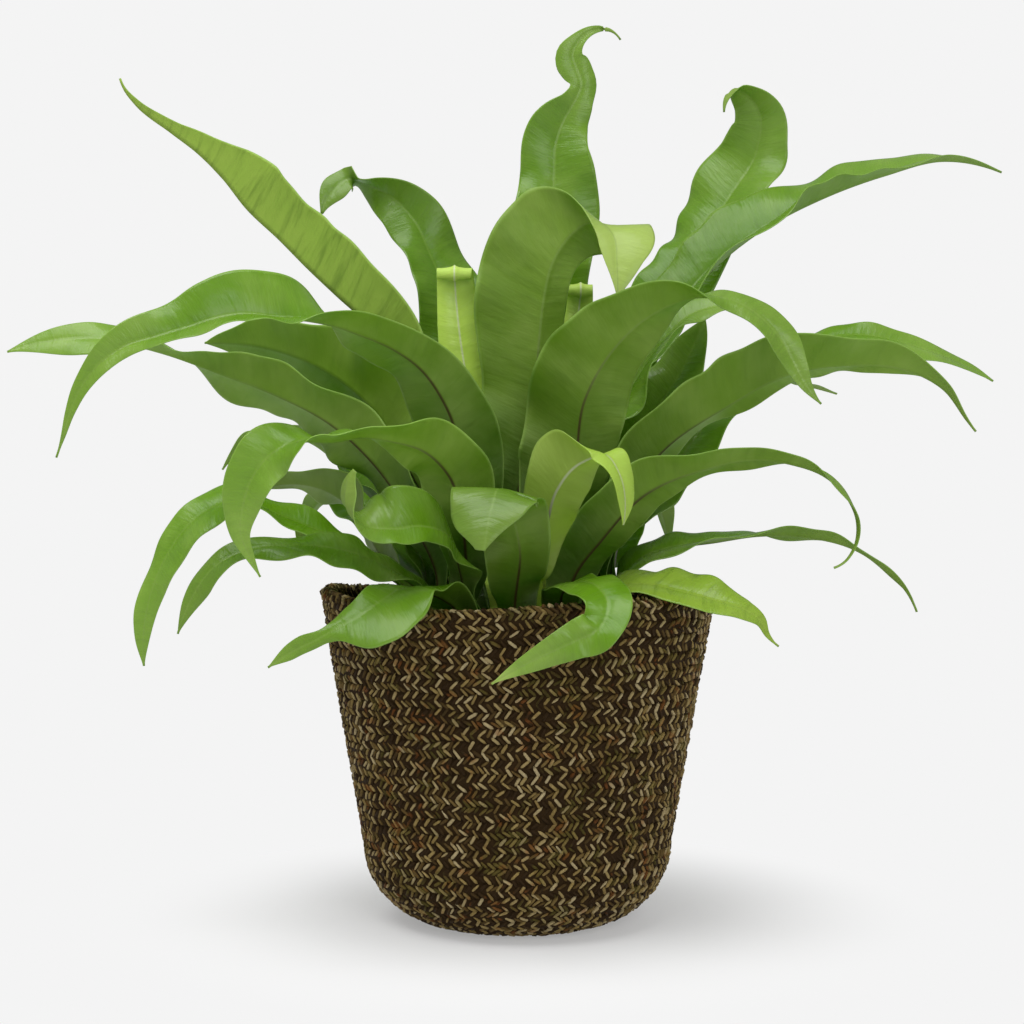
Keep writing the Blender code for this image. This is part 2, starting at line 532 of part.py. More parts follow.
def front_fronds():
    frond("front_foldover", 284, 38,
          [(4, -48, 161), (12, -62, 184), (17, -74, 202), (27, -86, 214), (37, -94, 217),
           (42, -100, 210), (44, -102, 188)],
          edges=((0, 4, 4), (0.15, 6, 6), (0.3, 10, 9), (0.45, 12, 10), (0.55, 13, 14), (0.62, 12, 19),
                 (0.68, 9, 16), (0.74, 5, 7), (0.8, 7, 8), (0.86, 9, 7), (0.93, 5, 5), (1, 0, 0)),
          roll=(0, 0, -20, -30, -20), fold=0.2, wave=(4, 4, 3, 0), colour=PALE_GREEN)
    frond("front_folded", 269, 56,
          [(-1, -56, 154), (1, -73, 176), (-3, -86, 193), (-8, -97, 203), (-11, -110, 195),
           (-14, -117, 178)],
          edges=((0, 4, 4), (0.2, 8, 8), (0.4, 12, 14), (0.55, 14, 19), (0.7, 15, 21), (0.82, 16, 20),
                 (0.92, 13, 16), (1, 3, 3)),
          roll=(0, 0, 0, 10), fold=-0.15, wave=(5, 4, 3.5, 1))
    frond("left_curled", 246, 54,
          [(-25, -54, 166), (-27, -68, 176), (-32, -82, 184), (-42, -92, 187), (-54, -98, 186),
           (-65, -102, 188), (-71, -105, 195), (-71, -106, 204), (-68, -107, 211)],
          edges=((0, 4, 4), (0.2, 8, 8), (0.4, 11, 13), (0.5, 9, 14), (0.6, 7, 16), (0.7, 9, 19),
                 (0.78, 10, 18), (0.86, 8, 9), (0.93, 7, 7), (1, 1, 1)),
          roll=(0, -20, -50, -60, -50, -20), fold=0.1, wave=(3, 2.5, 3, 1))


# The lowest fronds, hanging out over the basket's rim

def low_fronds():
    frond("left_low_outer", 194, 67,
          [(-47, -12, 149), (-63, -20, 164), (-83, -24, 178), (-106, -26, 188), (-128, -30, 196),
           (-146, -32, 187), (-159, -34, 169), (-167, -34, 147), (-169, -32, 121)],
          edges=((0, 4, 4), (0.15, 6, 6), (0.35, 10, 10), (0.55, 14, 13), (0.62, 15, 12), (0.7, 14, 9),
                 (0.8, 11, 6), (0.9, 5, 6), (0.95, 3, 4), (1, 0, 0)),
          roll=(0, -20, -25, -25, -45, -60), fold=0.15, wave=(2, 1.5, 4, 1))
    frond("left_low_inner", 211, 66,
          [(-42, -33, 153), (-58, -43, 166), (-76, -52, 174), (-99, -60, 177), (-119, -66, 175),
           (-133, -68, 167), (-142, -68, 154), (-148, -68, 139)],
          edges=((0, 5, 5), (0.1, 6, 6), (0.3, 14, 12), (0.42, 18, 13), (0.5, 18, 11), (0.58, 18, 9),
                 (0.63, 14, 8), (0.68, 8, 7), (0.73, 6, 6), (0.8, 8, 6), (0.87, 8, 5), (0.93, 4, 3),
                 (1, 0, 0)),
          roll=(0, -25, -30, -25, -50), fold=0.1, wave=(2.5, 2, 4, 0))
    frond("left_dark", 169, 68,
          [(-51, 8, 148), (-66, 12, 172), (-80, 14, 193), (-100, 15, 202), (-121, 14, 200)],
          width=40, stem=8, belly=0.55, drip=0.0, roll=(0, 20, 30, 30), fold=0.15, wave=(3, 3, 4, 2))
    frond("left_over_rim", 246, 69,
          [(-27, -58, 149), (-40, -72, 158), (-49, -84, 160), (-57, -95, 156), (-66, -101, 150),
           (-77, -103, 144), (-84, -103, 140), (-94, -102, 135), (-105, -101, 128)],
          edges=((0, 4, 4), (0.15, 6, 6), (0.35, 13, 12), (0.5, 17, 13), (0.6, 20, 10), (0.67, 21, 8),
                 (0.73, 17, 7), (0.78, 6, 4), (0.82, 3, 3), (0.88, 3, 5), (0.93, 3, 4), (1, 0, 0)),
          roll=(0, 0, 5, 0, -20, -20, -20), fold=0.05, wave=(1.5, 1.5, 3, 1))
    frond("right_over_rim", 297, 68,
          [(19, -54, 154), (25, -76, 162), (34, -92, 161), (38, -103, 153), (34, -108, 145),
           (24, -109, 140), (11, -109, 134), (-1, -109, 128), (-11, -109, 122)],
          edges=((0, 4, 4), (0.15, 6, 6), (0.35, 11, 11), (0.5, 12, 12), (0.6, 10, 10), (0.7, 9, 9),
                 (0.8, 7, 7), (0.9, 4, 4), (1, 0, 0)),
          roll=(0, 0, 15, 50, 60), fold=0.05, wave=(1.5, 1.5, 3, 1))
    frond("right_yellow", 323, 67,
          [(35, -44, 152), (48, -53, 159), (55, -58, 160), (72, -65, 157), (85, -70, 154), (98, -73, 150),
           (105, -73, 145), (108, -73, 139), (113, -73, 134)],
          edges=((0, 4, 4), (0.2, 7, 8), (0.35, 14, 12), (0.5, 16, 13), (0.65, 14, 12), (0.78, 10, 9),
                 (0.87, 5, 5), (0.92, 2, 2), (1, 0, 0)),
          roll=(0, 10, 20, 25, 30), fold=0.1, wave=(1.5, 1, 3, 1), colour=YELLOW_GREEN)
    frond("right_lowest", 348, 70,
          [(43, -14, 144), (48, -17, 159), (57, -19, 169), (70, -22, 174), (89, -24, 177), (110, -24, 180),
           (133, -22, 179), (155, -18, 173), (171, -16, 162), (180, -15, 152), (184, -14, 144)],
          edges=((0, 4, 4), (0.15, 6, 6), (0.25, 11, 12), (0.35, 15, 14), (0.45, 11, 12), (0.55, 8, 9),
                 (0.65, 7, 7), (0.75, 5, 5), (0.85, 3, 3), (0.93, 2, 2), (1, 0, 0)),
          roll=(0, 5, 22, -15, -30, -20), fold=0.15, wave=(1.5, 1.5, 4, 1))


# The fronds that fill the far side

def back_fronds():
    back_frond("back_tall", 82, 44, 205, 322, 312, 3, width=42, roll=(0, 0, 5, 10), swing=6)
    back_frond("back_mid_1", 30, 57, 188, 256, 246, 0, width=34, roll=(0, 0, 10, 10))
    back_frond("back_mid_2", 58, 59, 190, 258, 236, 1, width=38, roll=(0, 0, -10, 10))
    back_frond("back_mid_3", 100, 58, 205, 258, 225, 2, width=42, roll=(0, 0, 10, 0), swing=3)
    back_frond("back_mid_4", 130, 56, 195, 266, 240, 3, width=42, roll=(0, 0, -10, 10), swing=-3)
    back_frond("back_mid_5", 160, 58, 160, 226, 208, 4, width=36, roll=(0, 0, 10, 10), swing=-4)
    back_frond("back_low_1", 51, 69, 142, 194, 166, 5, width=34, roll=(0, 0, 10, 10),
               swing=5, low=True, fold=0.15)
    back_frond("back_low_2", 83, 69, 165, 200, 150, 0, width=40, roll=(0, 0, -10, 10),
               swing=5, low=True, fold=0.15)
    back_frond("back_low_3", 113, 69, 160, 205, 160, 1, width=38, roll=(0, 0, 10, 0),
               swing=-4, low=True, fold=0.15)
    back_frond("back_low_4", 138, 70, 150, 196, 165, 2, width=38, roll=(0, 0, -10, 10),
               low=True, fold=0.15)


clear_scene()
basket()
nursery_pot()
potting_soil()
crown()
inner_fronds()
middle_fronds_left()
middle_fronds_right()
front_fronds()
low_fronds()
back_fronds()
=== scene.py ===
"""The birds nest fern in its coiled basket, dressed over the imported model.

The frame is in metres, +Z up and -Y to the viewer. The plant's and the basket's sizes are in millimetres.
"""

import math

import bpy
import mathutils
import numpy as np
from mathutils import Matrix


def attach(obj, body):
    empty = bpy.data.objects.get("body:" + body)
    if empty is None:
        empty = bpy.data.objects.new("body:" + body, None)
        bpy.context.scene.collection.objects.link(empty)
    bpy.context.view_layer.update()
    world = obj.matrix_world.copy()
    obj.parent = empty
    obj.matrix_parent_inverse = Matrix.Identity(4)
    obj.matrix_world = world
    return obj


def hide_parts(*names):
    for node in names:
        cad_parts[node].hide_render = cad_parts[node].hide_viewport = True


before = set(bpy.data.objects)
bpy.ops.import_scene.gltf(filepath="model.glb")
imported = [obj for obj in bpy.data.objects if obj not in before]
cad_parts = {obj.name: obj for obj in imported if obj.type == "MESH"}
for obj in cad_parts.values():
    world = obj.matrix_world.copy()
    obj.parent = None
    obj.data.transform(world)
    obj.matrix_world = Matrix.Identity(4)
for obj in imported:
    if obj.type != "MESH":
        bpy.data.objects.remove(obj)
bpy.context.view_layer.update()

# The basket. One long three-strand plait of dark and straw-coloured plant fibre is coiled round and sewn
# edge to edge, so its wall is rows of small slanted strand ends that meet in zigzags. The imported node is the
# wall itself, and the strands are laid on it, over the rim and a little way down the inside.

MM = 0.001
WALL_FOOT_RADIUS = 64.9
WALL_SLOPE = 0.173
WALL = 5.5
RIM_Z = 149.0
RIM_ROUND_DROP = 0.8  # the middle of the rim's round lies this far under RIM_Z
RIM_RISE = 1.3  # the rim is lifted this much, and RIM_WAVE more or less in RIM_WAVES waves round it
RIM_WAVE = 2.2
RIM_WAVES = 3.0
RIM_PEAK = 185  # degrees round from +X
LIFT_FOOT = 105.0  # the lift begins at this height and is whole LIFT_REACH higher
LIFT_REACH = 45.0
CORNER_RADIUS = 37.0
CORNER_LENGTH = CORNER_RADIUS * math.pi / 2
WALL_LENGTH = (RIM_Z - CORNER_RADIUS) * math.hypot(1, WALL_SLOPE)
ROW_PITCH = 7.2
ROWS_LOWER = 13  # the lower piece's rows, all of the outside's, and those over the rim and inside
ROWS_OUTSIDE = 24
ROWS_INSIDE = 3
STRAND_SPACING = 2.8
STRAND_LENGTH = 6.2
STRAND_WIDTH = 1.65
STRAND_DEPTH = 2.8
STRAND_SLANT = 46.0  # degrees from level, one way in a row's upper half and the other way in its lower half
STRAND_SINK = 0.4  # how far a strand's centre lies below the wall's outer line
STRAND_STRAY = 0.35  # and how far it may stray from its place
STRAND_SEED = 7
STRAY_SEED = 3
ROW_DRIFT = ((1.1, 0.9, 9), (0.7, 0.37, -23))  # waves: size, change per half row, count round the basket
ROW_HEAVE = ((0.6, 0.5, 14), (0.4, 0.0, 37))
CROSSINGS = ((1.0, 1.15, 6),)  # where this wave is over CROSSING_LIMIT, light and dark strands swap turns
CROSSING_LIMIT = 0.3
STRAND_TWIST = (0.15, 0.12, 0.28)  # at most, in radians
SMALLEST_STRAND = (0.85, 0.8, 0.75)  # share of the length, width and depth
LARGEST_STRAND = (1.15, 1.2, 1.2)
DARKEST_SHADE = 0.06  # a dark strand's shade on the fibre's ramp is between these
LIGHTEST_SHADE = 0.5
TURN_STEP = 0.44  # and a light strand's is this much higher
# dark brown of the fibre's streaks, and painted shade at the strand ends and in the gaps between them
SHADE_AND_STREAK_BROWN = (24, 15, 4)
DARK_FIBRE = (54, 38, 16)
BROWN_FIBRE = (112, 90, 48)
STRAW_FIBRE = (172, 148, 90)
PALE_FIBRE = (208, 190, 146)
OLIVE_FIBRE = (112, 104, 44)
RUST_FIBRE = (148, 88, 38)
FIBRE_RAMP = ((0.0, DARK_FIBRE), (0.28, DARK_FIBRE), (0.48, BROWN_FIBRE), (0.68, STRAW_FIBRE),
              (1.0, PALE_FIBRE))
FIBRE_PATCHES = ((0.09, 0.56, OLIVE_FIBRE), (0.13, 0.6, RUST_FIBRE))  # noise scale, noise limit, colour


def paint(rgb):
    """An sRGB colour from 0 to 255 as the linear colour that a shader takes."""
    share = [c / 255 for c in rgb]
    return (*[c / 12.92 if c <= 0.04045 else ((c + 0.055) / 1.055) ** 2.4 for c in share], 1.0)


def ease(x):
    x = np.clip(x, 0.0, 1.0)
    return x * x * (3.0 - 2.0 * x)


def add_node(tree, kind, **settings):
    node = tree.nodes.new(kind)
    for name, value in settings.items():
        setattr(node, name, value)
    return node


def feed(tree, socket, value):
    """Links a node's first output or another socket to this socket, or sets it to a value."""
    if isinstance(value, bpy.types.Node):
        value = value.outputs[0]
    if isinstance(value, bpy.types.NodeSocket):
        tree.links.new(value, socket)
    else:
        socket.default_value = value


def set_inputs(tree, node, **values):
    """Sets or links a node's inputs, named with _ for each space."""
    for name, value in values.items():
        feed(tree, node.inputs[name.replace("_", " ")], value)
    return node


def wired(tree, kind, **values):
    """A new node with its inputs set or linked."""
    return set_inputs(tree, add_node(tree, kind), **values)


def new_material(name):
    material = bpy.data.materials.new(name)
    material.use_nodes = True
    return material, material.node_tree, material.node_tree.nodes["Principled BSDF"]


def maths(tree, operation, first, second=0.0, third=0.0):
    node = add_node(tree, "ShaderNodeMath", operation=operation)
    for socket, value in zip(node.inputs, (first, second, third)):
        feed(tree, socket, value)
    return node.outputs[0]


def blend(tree, share, first, second):
    """A colour mixed from two colours or colour sockets."""
    node = add_node(tree, "ShaderNodeMix", data_type="RGBA")
    for index, value in ((0, share), (6, first), (7, second)):
        feed(tree, node.inputs[index], value)
    return node.outputs[2]


def laid_over(tree, colour, mask, strength, other):
    """The colour with another laid over it by a mask, at most at this strength."""
    return blend(tree, maths(tree, "MULTIPLY", mask, strength), colour, other)


def noise(tree, place, scale, detail=3.0, roughness=0.55):
    node = wired(tree, "ShaderNodeTexNoise", Vector=place, Scale=scale, Detail=detail, Roughness=roughness)
    return node.outputs["Fac"]


def colour_steps(tree, value, steps):
    """A ramp from (position, colour) pairs."""
    node = add_node(tree, "ShaderNodeValToRGB")
    while len(node.color_ramp.elements) < len(steps):
        node.color_ramp.elements.new(1.0)
    for element, (position, colour) in zip(node.color_ramp.elements, steps):
        element.position = position
        element.color = colour
    feed(tree, node.inputs["Fac"], value)
    return node


def in_millimetres(tree):
    """Object coordinates scaled to millimetres."""
    place = add_node(tree, "ShaderNodeTexCoord").outputs["Object"]
    node = add_node(tree, "ShaderNodeVectorMath", operation="SCALE")
    set_inputs(tree, node, Vector=place, Scale=1000.0)
    return node.outputs["Vector"]


def bump(tree, height, strength, distance):
    node = wired(tree, "ShaderNodeBump", Height=height, Strength=strength, Distance=distance)
    return node.outputs["Normal"]


def fibre_material():
    """Plant fibre: each strand end has its own streaked colour, with painted shade where it dives under the
    next.
    """
    material, tree, shader = new_material("plaited_fibre")
    place = in_millimetres(tree)
    strand = add_node(tree, "ShaderNodeAttribute", attribute_name="strand").outputs["Fac"]
    end = add_node(tree, "ShaderNodeAttribute", attribute_name="end").outputs["Fac"]
    region = noise(tree, place, scale=0.04, detail=2.0)
    pick = maths(tree, "MULTIPLY_ADD", region, 0.5, maths(tree, "SUBTRACT", strand, 0.25))
    colour = colour_steps(tree, pick, [(position, paint(shade)) for position, shade in FIBRE_RAMP])
    for scale, limit, shade in FIBRE_PATCHES:
        patch = maths(tree, "MULTIPLY", maths(tree, "SUBTRACT", noise(tree, place, scale, 1.0), limit), 5.0)
        share = maths(tree, "MINIMUM", maths(tree, "MAXIMUM", patch, 0.0), 0.5)
        colour = blend(tree, share, colour, paint(shade))
    streak = noise(tree, place, scale=1.3, roughness=0.7)
    colour = laid_over(tree, colour, streak, 0.75, paint(SHADE_AND_STREAK_BROWN))
    # painted shade: each strand darkens towards its ends, where it dives under its neighbours
    colour = laid_over(tree, colour, maths(tree, "POWER", end, 3.0), 0.4, paint(SHADE_AND_STREAK_BROWN))
    set_inputs(tree, shader, Base_Color=colour, Roughness=0.65, Specular_IOR_Level=0.1)
    set_inputs(tree, shader, Normal=bump(tree, streak, strength=0.6, distance=0.0006))
    return material


def new_group(name, kind, takes, gives):
    """A node group with named sockets: its tree, what it is given, and its output node."""
    tree = bpy.data.node_groups.new(name, kind)
    for side, sockets in (("INPUT", takes), ("OUTPUT", gives)):
        for socket, value in sockets.items():
            tree.interface.new_socket(socket, in_out=side, socket_type="NodeSocket" + value)
    return tree, add_node(tree, "NodeGroupInput").outputs, add_node(tree, "NodeGroupOutput")


def grain_group():
    """Fine, uneven grain in two tones, for what is fibrous or earthy."""
    takes = dict(Place="Vector", Scale="Float", Detail="Float", Dark="Color", Light="Color")
    tree, given, result = new_group("grain", "ShaderNodeTree", takes, dict(Colour="Color", Height="Float"))
    grain = noise(tree, given["Place"], given["Scale"], given["Detail"], roughness=0.7)
    set_inputs(tree, result, Colour=blend(tree, grain, given["Dark"], given["Light"]), Height=grain)
    return tree


def placed(tree, group, **values):
    """A shader group placed in a material with its own values: its outputs."""
    return set_inputs(tree, add_node(tree, "ShaderNodeGroup", node_tree=group), **values).outputs


fibre_grain = grain_group()


def wall_material():
    """The plait's dark ground, seen between the strand ends: dark fibre, painted darker still with the gaps'
    shade.
    """
    material, tree, shader = new_material("wall_fibre")
    colour, streak = placed(tree, fibre_grain, Place=in_millimetres(tree), Scale=0.7, Detail=3.0,
                            Dark=paint(SHADE_AND_STREAK_BROWN), Light=paint(DARK_FIBRE))
    set_inputs(tree, shader, Base_Color=colour, Roughness=0.85, Specular_IOR_Level=0.1)
    set_inputs(tree, shader, Normal=bump(tree, streak, strength=0.6, distance=0.0008))
    return material


def wall_radius(z):
    return WALL_FOOT_RADIUS + WALL_SLOPE * z


def rim_lift(z, turn):
    """How far the uneven rim is lifted: most at the left, at the front right and at the back."""
    wave = np.cos(RIM_WAVES * (turn - math.radians(RIM_PEAK)))
    return (RIM_RISE + RIM_WAVE * wave) * ease((z - LIFT_FOOT) / LIFT_REACH)


def row_line(distance):
    """Radius, height and outward direction at this distance up the wall's section from the base's edge."""
    centre = wall_radius(CORNER_RADIUS) - CORNER_RADIUS
    if distance < CORNER_LENGTH:
        a = distance / CORNER_RADIUS - math.pi / 2
        out = (math.cos(a), math.sin(a))
        return centre + CORNER_RADIUS * out[0], CORNER_RADIUS * (1 + out[1]), out
    if distance < CORNER_LENGTH + WALL_LENGTH:
        z = CORNER_RADIUS + (distance - CORNER_LENGTH) / math.hypot(1, WALL_SLOPE)
        return wall_radius(z), z, (math.cos(WALL_SLOPE), -math.sin(WALL_SLOPE))
    over = distance - CORNER_LENGTH - WALL_LENGTH
    half = WALL / 2
    if over < math.pi * half:
        a = over / half
        out = (math.cos(a), math.sin(a))
        return wall_radius(RIM_Z) - half + half * out[0], RIM_Z - RIM_ROUND_DROP + half * out[1], out
    z = RIM_Z - RIM_ROUND_DROP - (over - math.pi * half)
    return wall_radius(z) - WALL, z, (-1.0, 0.0)


def waves(kinds, half_row, turn):
    """The sum of waves that run round the basket and change from row to row."""
    return sum(size * math.sin(change * half_row + count * turn) for size, change, count in kinds)


def store(mesh, name, values):
    """Gives each of a mesh's points a number, or a triple of numbers."""
    values = np.asarray(values, float)
    kind, key = ("FLOAT_VECTOR", "vector") if values.ndim == 2 else ("FLOAT", "value")
    mesh.attributes.new(name, kind, "POINT").data.foreach_set(key, values.ravel())


def strand_places(first_row, last_row):
    """A vertex for each strand end, with the way out, the way it lies, and 1 where it is a light one."""
    length = CORNER_LENGTH + WALL_LENGTH
    pitch = length / round(length / ROW_PITCH)
    chance = np.random.default_rng(first_row + STRAY_SEED)
    points, outward, lie, tone = [], [], [], []
    for half_row in range(2 * first_row + 1, 2 * last_row + 1):
        r, z, out = row_line((half_row + 0.5) * pitch / 2)
        r -= out[0] * STRAND_SINK
        z -= out[1] * STRAND_SINK
        count = 2 * round(math.pi * r / STRAND_SPACING)
        slant = math.radians(STRAND_SLANT if half_row % 2 else -STRAND_SLANT)
        for j in range(count):
            stray = chance.uniform(-STRAND_STRAY, STRAND_STRAY, 3)
            turn = 2 * math.pi * j / count - math.pi / 2
            stray[0] += waves(ROW_DRIFT, half_row, turn)
            stray[1] += waves(ROW_HEAVE, half_row, turn)
            turn += stray[0] / r
            x, y = math.cos(turn), math.sin(turn)
            high = z + stray[1] * out[0] + float(rim_lift(z, turn))
            reach = r + 0.5 * stray[2] - stray[1] * out[1]
            points.append((reach * x * MM, reach * y * MM, high * MM))
            outward.append((out[0] * x, out[0] * y, out[1]))
            up = (-out[1] * x, -out[1] * y, out[0])
            lie.append([math.cos(slant) * a + math.sin(slant) * b for a, b in zip((-y, x, 0.0), up)])
            crossed = waves(CROSSINGS, half_row, turn) > CROSSING_LIMIT
            tone.append(float((j + crossed) % 2))
    mesh = bpy.data.meshes.new("strand_places")
    mesh.from_pydata(points, [], [])
    store(mesh, "outward", outward)
    store(mesh, "lie", lie)
    store(mesh, "tone", tone)
    return mesh


def attribute_field(tree, name, kind):
    node = add_node(tree, "GeometryNodeInputNamedAttribute", data_type=kind)
    node.inputs["Name"].default_value = name
    return node.outputs["Attribute"]


def strand_tree():
    """Lays a small rounded strand end on every vertex, each a little unlike the next."""
    takes = dict(Places="Geometry", Length="Float", Width="Float", Depth="Float", Seed="Int",
                 Material="Material")
    tree, given, result = new_group("laid_strands", "GeometryNodeTree", takes, dict(Strands="Geometry"))
    face = add_node(tree, "FunctionNodeAlignRotationToVector", axis="Z")
    set_inputs(tree, face, Vector=attribute_field(tree, "outward", "FLOAT_VECTOR"))
    laid = add_node(tree, "FunctionNodeAlignRotationToVector", axis="X", pivot_axis="Z")
    set_inputs(tree, laid, Rotation=face, Vector=attribute_field(tree, "lie", "FLOAT_VECTOR"))
    wander = add_node(tree, "FunctionNodeRandomValue", data_type="FLOAT_VECTOR")
    set_inputs(tree, wander, Min=tuple(-t for t in STRAND_TWIST), Max=STRAND_TWIST, Seed=given["Seed"])
    twist = wired(tree, "FunctionNodeEulerToRotation", Euler=wander)
    turned = add_node(tree, "FunctionNodeRotateRotation", rotation_space="LOCAL")
    set_inputs(tree, turned, Rotation=laid, Rotate_By=twist)
    size = wired(tree, "ShaderNodeCombineXYZ", X=given["Length"], Y=given["Width"], Z=given["Depth"])
    ball = wired(tree, "GeometryNodeMeshUVSphere", Segments=6, Rings=3, Radius=0.5)
    along = wired(tree, "GeometryNodeTransform", Geometry=ball.outputs["Mesh"],
                  Rotation=(0.0, math.pi / 2, 0.0))
    place = add_node(tree, "GeometryNodeInputPosition").outputs[0]
    spot = wired(tree, "ShaderNodeSeparateXYZ", Vector=place)
    # how near each point is to the strand's ends, 1 at the ends, for the painted shade there
    ended = add_node(tree, "GeometryNodeStoreNamedAttribute", data_type="FLOAT", domain="POINT")
    set_inputs(tree, ended, Geometry=along, Name="end",
               Value=maths(tree, "MULTIPLY", maths(tree, "ABSOLUTE", spot.outputs[0]), 2.0))
    shaped = wired(tree, "GeometryNodeTransform", Geometry=ended, Scale=size)
    vary = add_node(tree, "FunctionNodeRandomValue", data_type="FLOAT_VECTOR")
    set_inputs(tree, vary, Min=SMALLEST_STRAND, Max=LARGEST_STRAND, Seed=given["Seed"])
    copies = wired(tree, "GeometryNodeInstanceOnPoints", Points=given["Places"], Instance=shaped,
                   Rotation=turned, Scale=vary)
    chance = add_node(tree, "FunctionNodeRandomValue", data_type="FLOAT")
    set_inputs(tree, chance, Min=DARKEST_SHADE, Max=LIGHTEST_SHADE, Seed=given["Seed"])
    shade = maths(tree, "MULTIPLY_ADD", attribute_field(tree, "tone", "FLOAT"), TURN_STEP, chance.outputs[1])
    named = add_node(tree, "GeometryNodeStoreNamedAttribute", data_type="FLOAT", domain="INSTANCE")
    set_inputs(tree, named, Geometry=copies, Name="strand", Value=shade)
    real = wired(tree, "GeometryNodeRealizeInstances", Geometry=named)
    smooth = wired(tree, "GeometryNodeSetShadeSmooth", Geometry=real)
    finish = wired(tree, "GeometryNodeSetMaterial", Geometry=smooth, Material=given["Material"])
    set_inputs(tree, result, Strands=finish)
    return tree


def add_object(name, data):
    piece = bpy.data.objects.new(name, data)
    bpy.context.scene.collection.objects.link(piece)
    return piece


def grown(name, mesh, tree, **values):
    """Runs a geometry tree on a mesh and returns the result as a plain mesh object."""
    source = add_object(name + "_source", mesh)
    modifier = source.modifiers.new("grow", "NODES")
    modifier.node_group = tree
    sockets = {item.name: item.identifier for item in tree.interface.items_tree if item.in_out == "INPUT"}
    for key, value in values.items():
        modifier[sockets[key]] = value
    bpy.context.view_layer.update()
    evaluated = source.evaluated_get(bpy.context.evaluated_depsgraph_get())
    result = bpy.data.meshes.new_from_object(evaluated)
    source.modifiers.clear()
    bpy.data.objects.remove(source)
    return add_object(name, result)


strand_fibre = fibre_material()
lay_strands = strand_tree()
for part, first, last in (("lower", 0, ROWS_LOWER), ("upper", ROWS_LOWER, ROWS_OUTSIDE + ROWS_INSIDE)):
    strands = grown("basket_strands_" + part, strand_places(first, last), lay_strands,
                    Length=STRAND_LENGTH * MM, Width=STRAND_WIDTH * MM, Depth=STRAND_DEPTH * MM,
                    Seed=STRAND_SEED + first, Material=strand_fibre)
    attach(strands, "root")


def dress_node(name, material):
    """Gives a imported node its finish."""
    for slot in bpy.data.objects[name].material_slots:
        slot.material = material


dress_node("basket", wall_material())

# The nursery pot. A thin, tapered pot of dark recycled plastic with a rolled band, moulded in one piece. It
# stands loose in the basket, and only its rim shows, just inside the basket's.

POT_BLACK = (20, 20, 19)
POT_SCUFFED = (52, 51, 47)


def pot_material():
    material, tree, shader = new_material("pot_plastic")
    scuff = noise(tree, in_millimetres(tree), scale=0.35, detail=4.0)
    colour = laid_over(tree, paint(POT_BLACK), scuff, 0.5, paint(POT_SCUFFED))
    rough = maths(tree, "MULTIPLY_ADD", scuff, 0.35, 0.3)
    normal = bump(tree, scuff, strength=0.15, distance=0.0004)
    set_inputs(tree, shader, Base_Color=colour, Roughness=rough, Normal=normal)
    return material


dress_node("nursery_pot", pot_material())

# The potting mix. Damp, dark, crumbly compost with bits of bark in it, filled in loose round the crown to a
# finger's width under the pot's rim.

MIX_DARK = (30, 21, 14)
MIX_LIGHT = (78, 58, 40)


def potting_material():
    material, tree, shader = new_material("potting_mix")
    place = in_millimetres(tree)
    lumps = wired(tree, "ShaderNodeTexVoronoi", Vector=place, Scale=0.35)
    colour, grain = placed(tree, fibre_grain, Place=place, Scale=0.9, Detail=5.0, Dark=paint(MIX_DARK),
                           Light=paint(MIX_LIGHT))
    height = maths(tree, "ADD", lumps.outputs["Distance"], grain)
    normal = bump(tree, height, strength=0.9, distance=0.003)
    set_inputs(tree, shader, Base_Color=colour, Roughness=0.9, Normal=normal)
    return material


dress_node("potting_soil", potting_material())

# The crown. A low dome of dark brown, scaly, fibrous rootstock, grown slowly from the leaf bases of past
# years. It sits in the mix, and every frond springs from it.

SCALE_DARK = (38, 25, 14)
SCALE_LIGHT = (92, 66, 38)
SCALE_EDGE = 0.2  # the scales are flat beyond this distance from their edges


def crown_material():
    material, tree, shader = new_material("crown_scales")
    place = in_millimetres(tree)
    scales = add_node(tree, "ShaderNodeTexVoronoi", feature="DISTANCE_TO_EDGE")
    set_inputs(tree, scales, Vector=place, Scale=0.22)
    colour, fibres = placed(tree, fibre_grain, Place=place, Scale=0.8, Detail=5.0, Dark=paint(SCALE_DARK),
                            Light=paint(SCALE_LIGHT))
    height = maths(tree, "ADD", maths(tree, "MINIMUM", scales.outputs["Distance"], SCALE_EDGE), fibres)
    normal = bump(tree, height, strength=0.8, distance=0.002)
    set_inputs(tree, shader, Base_Color=colour, Roughness=0.85, Normal=normal)
    return material


dress_node("crown", crown_material())

# The fronds. Each is one leathery leaf grown from the crown, with a brown stalk that runs on as its midrib,
# close cross veins, and thin edges that ripple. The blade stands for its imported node, on the same line but
# drawn finer. The inner fronds are nearly upright, and two young ones have their tops still rolled.

GAP = 0.3
CROWN_Z = 105.0
CROWN_RADIUS = 40.0
FINE = 200  # stations along a midrib
STALK = 12.0  # a frond leaves the crown straight for this far
LEAST_HALF = 0.45
STALK_EDGES = ((0, 5, 5), (0.1, 6, 6))  # share of the length, left half and right half, of most stalks
TIP_EDGES = ((1, 0, 0),)
FOLD = 0.15
SOFTENING = 13  # stations over which an outline's corners are softened
SCROLL_RADIUS = 4.6  # a rolled top starts with it and loses SCROLL_SHRINK at each step of SCROLL_STEP degrees
SCROLL_SHRINK = 0.26
SCROLL_STEP = 35.0
SCROLL_STEPS = 12
SCROLL_START = 0.7  # a young frond's edges lie still from this share of its length
BLADE = 0.7  # thickness
EDGE_THINNING = 0.45  # share of the thickness that is gone at the rim
RIB_DEPTH = 1.1  # the midrib stands out this far under the blade's foot
RIB_TAPER = 0.7  # share of its depth that is gone at the tip
RIB_GROOVE = 0.15  # and lies this deep in the upper face
RIB_HALF = 1.3
WIDEST_RIB = 0.4  # share of half the blade
ACROSS = (0.0, 0.2, 0.42, 0.62, 0.8, 0.92, 1.0)
STILL_END = 0.25  # share of the length, at foot and at tip, over which the waves grow
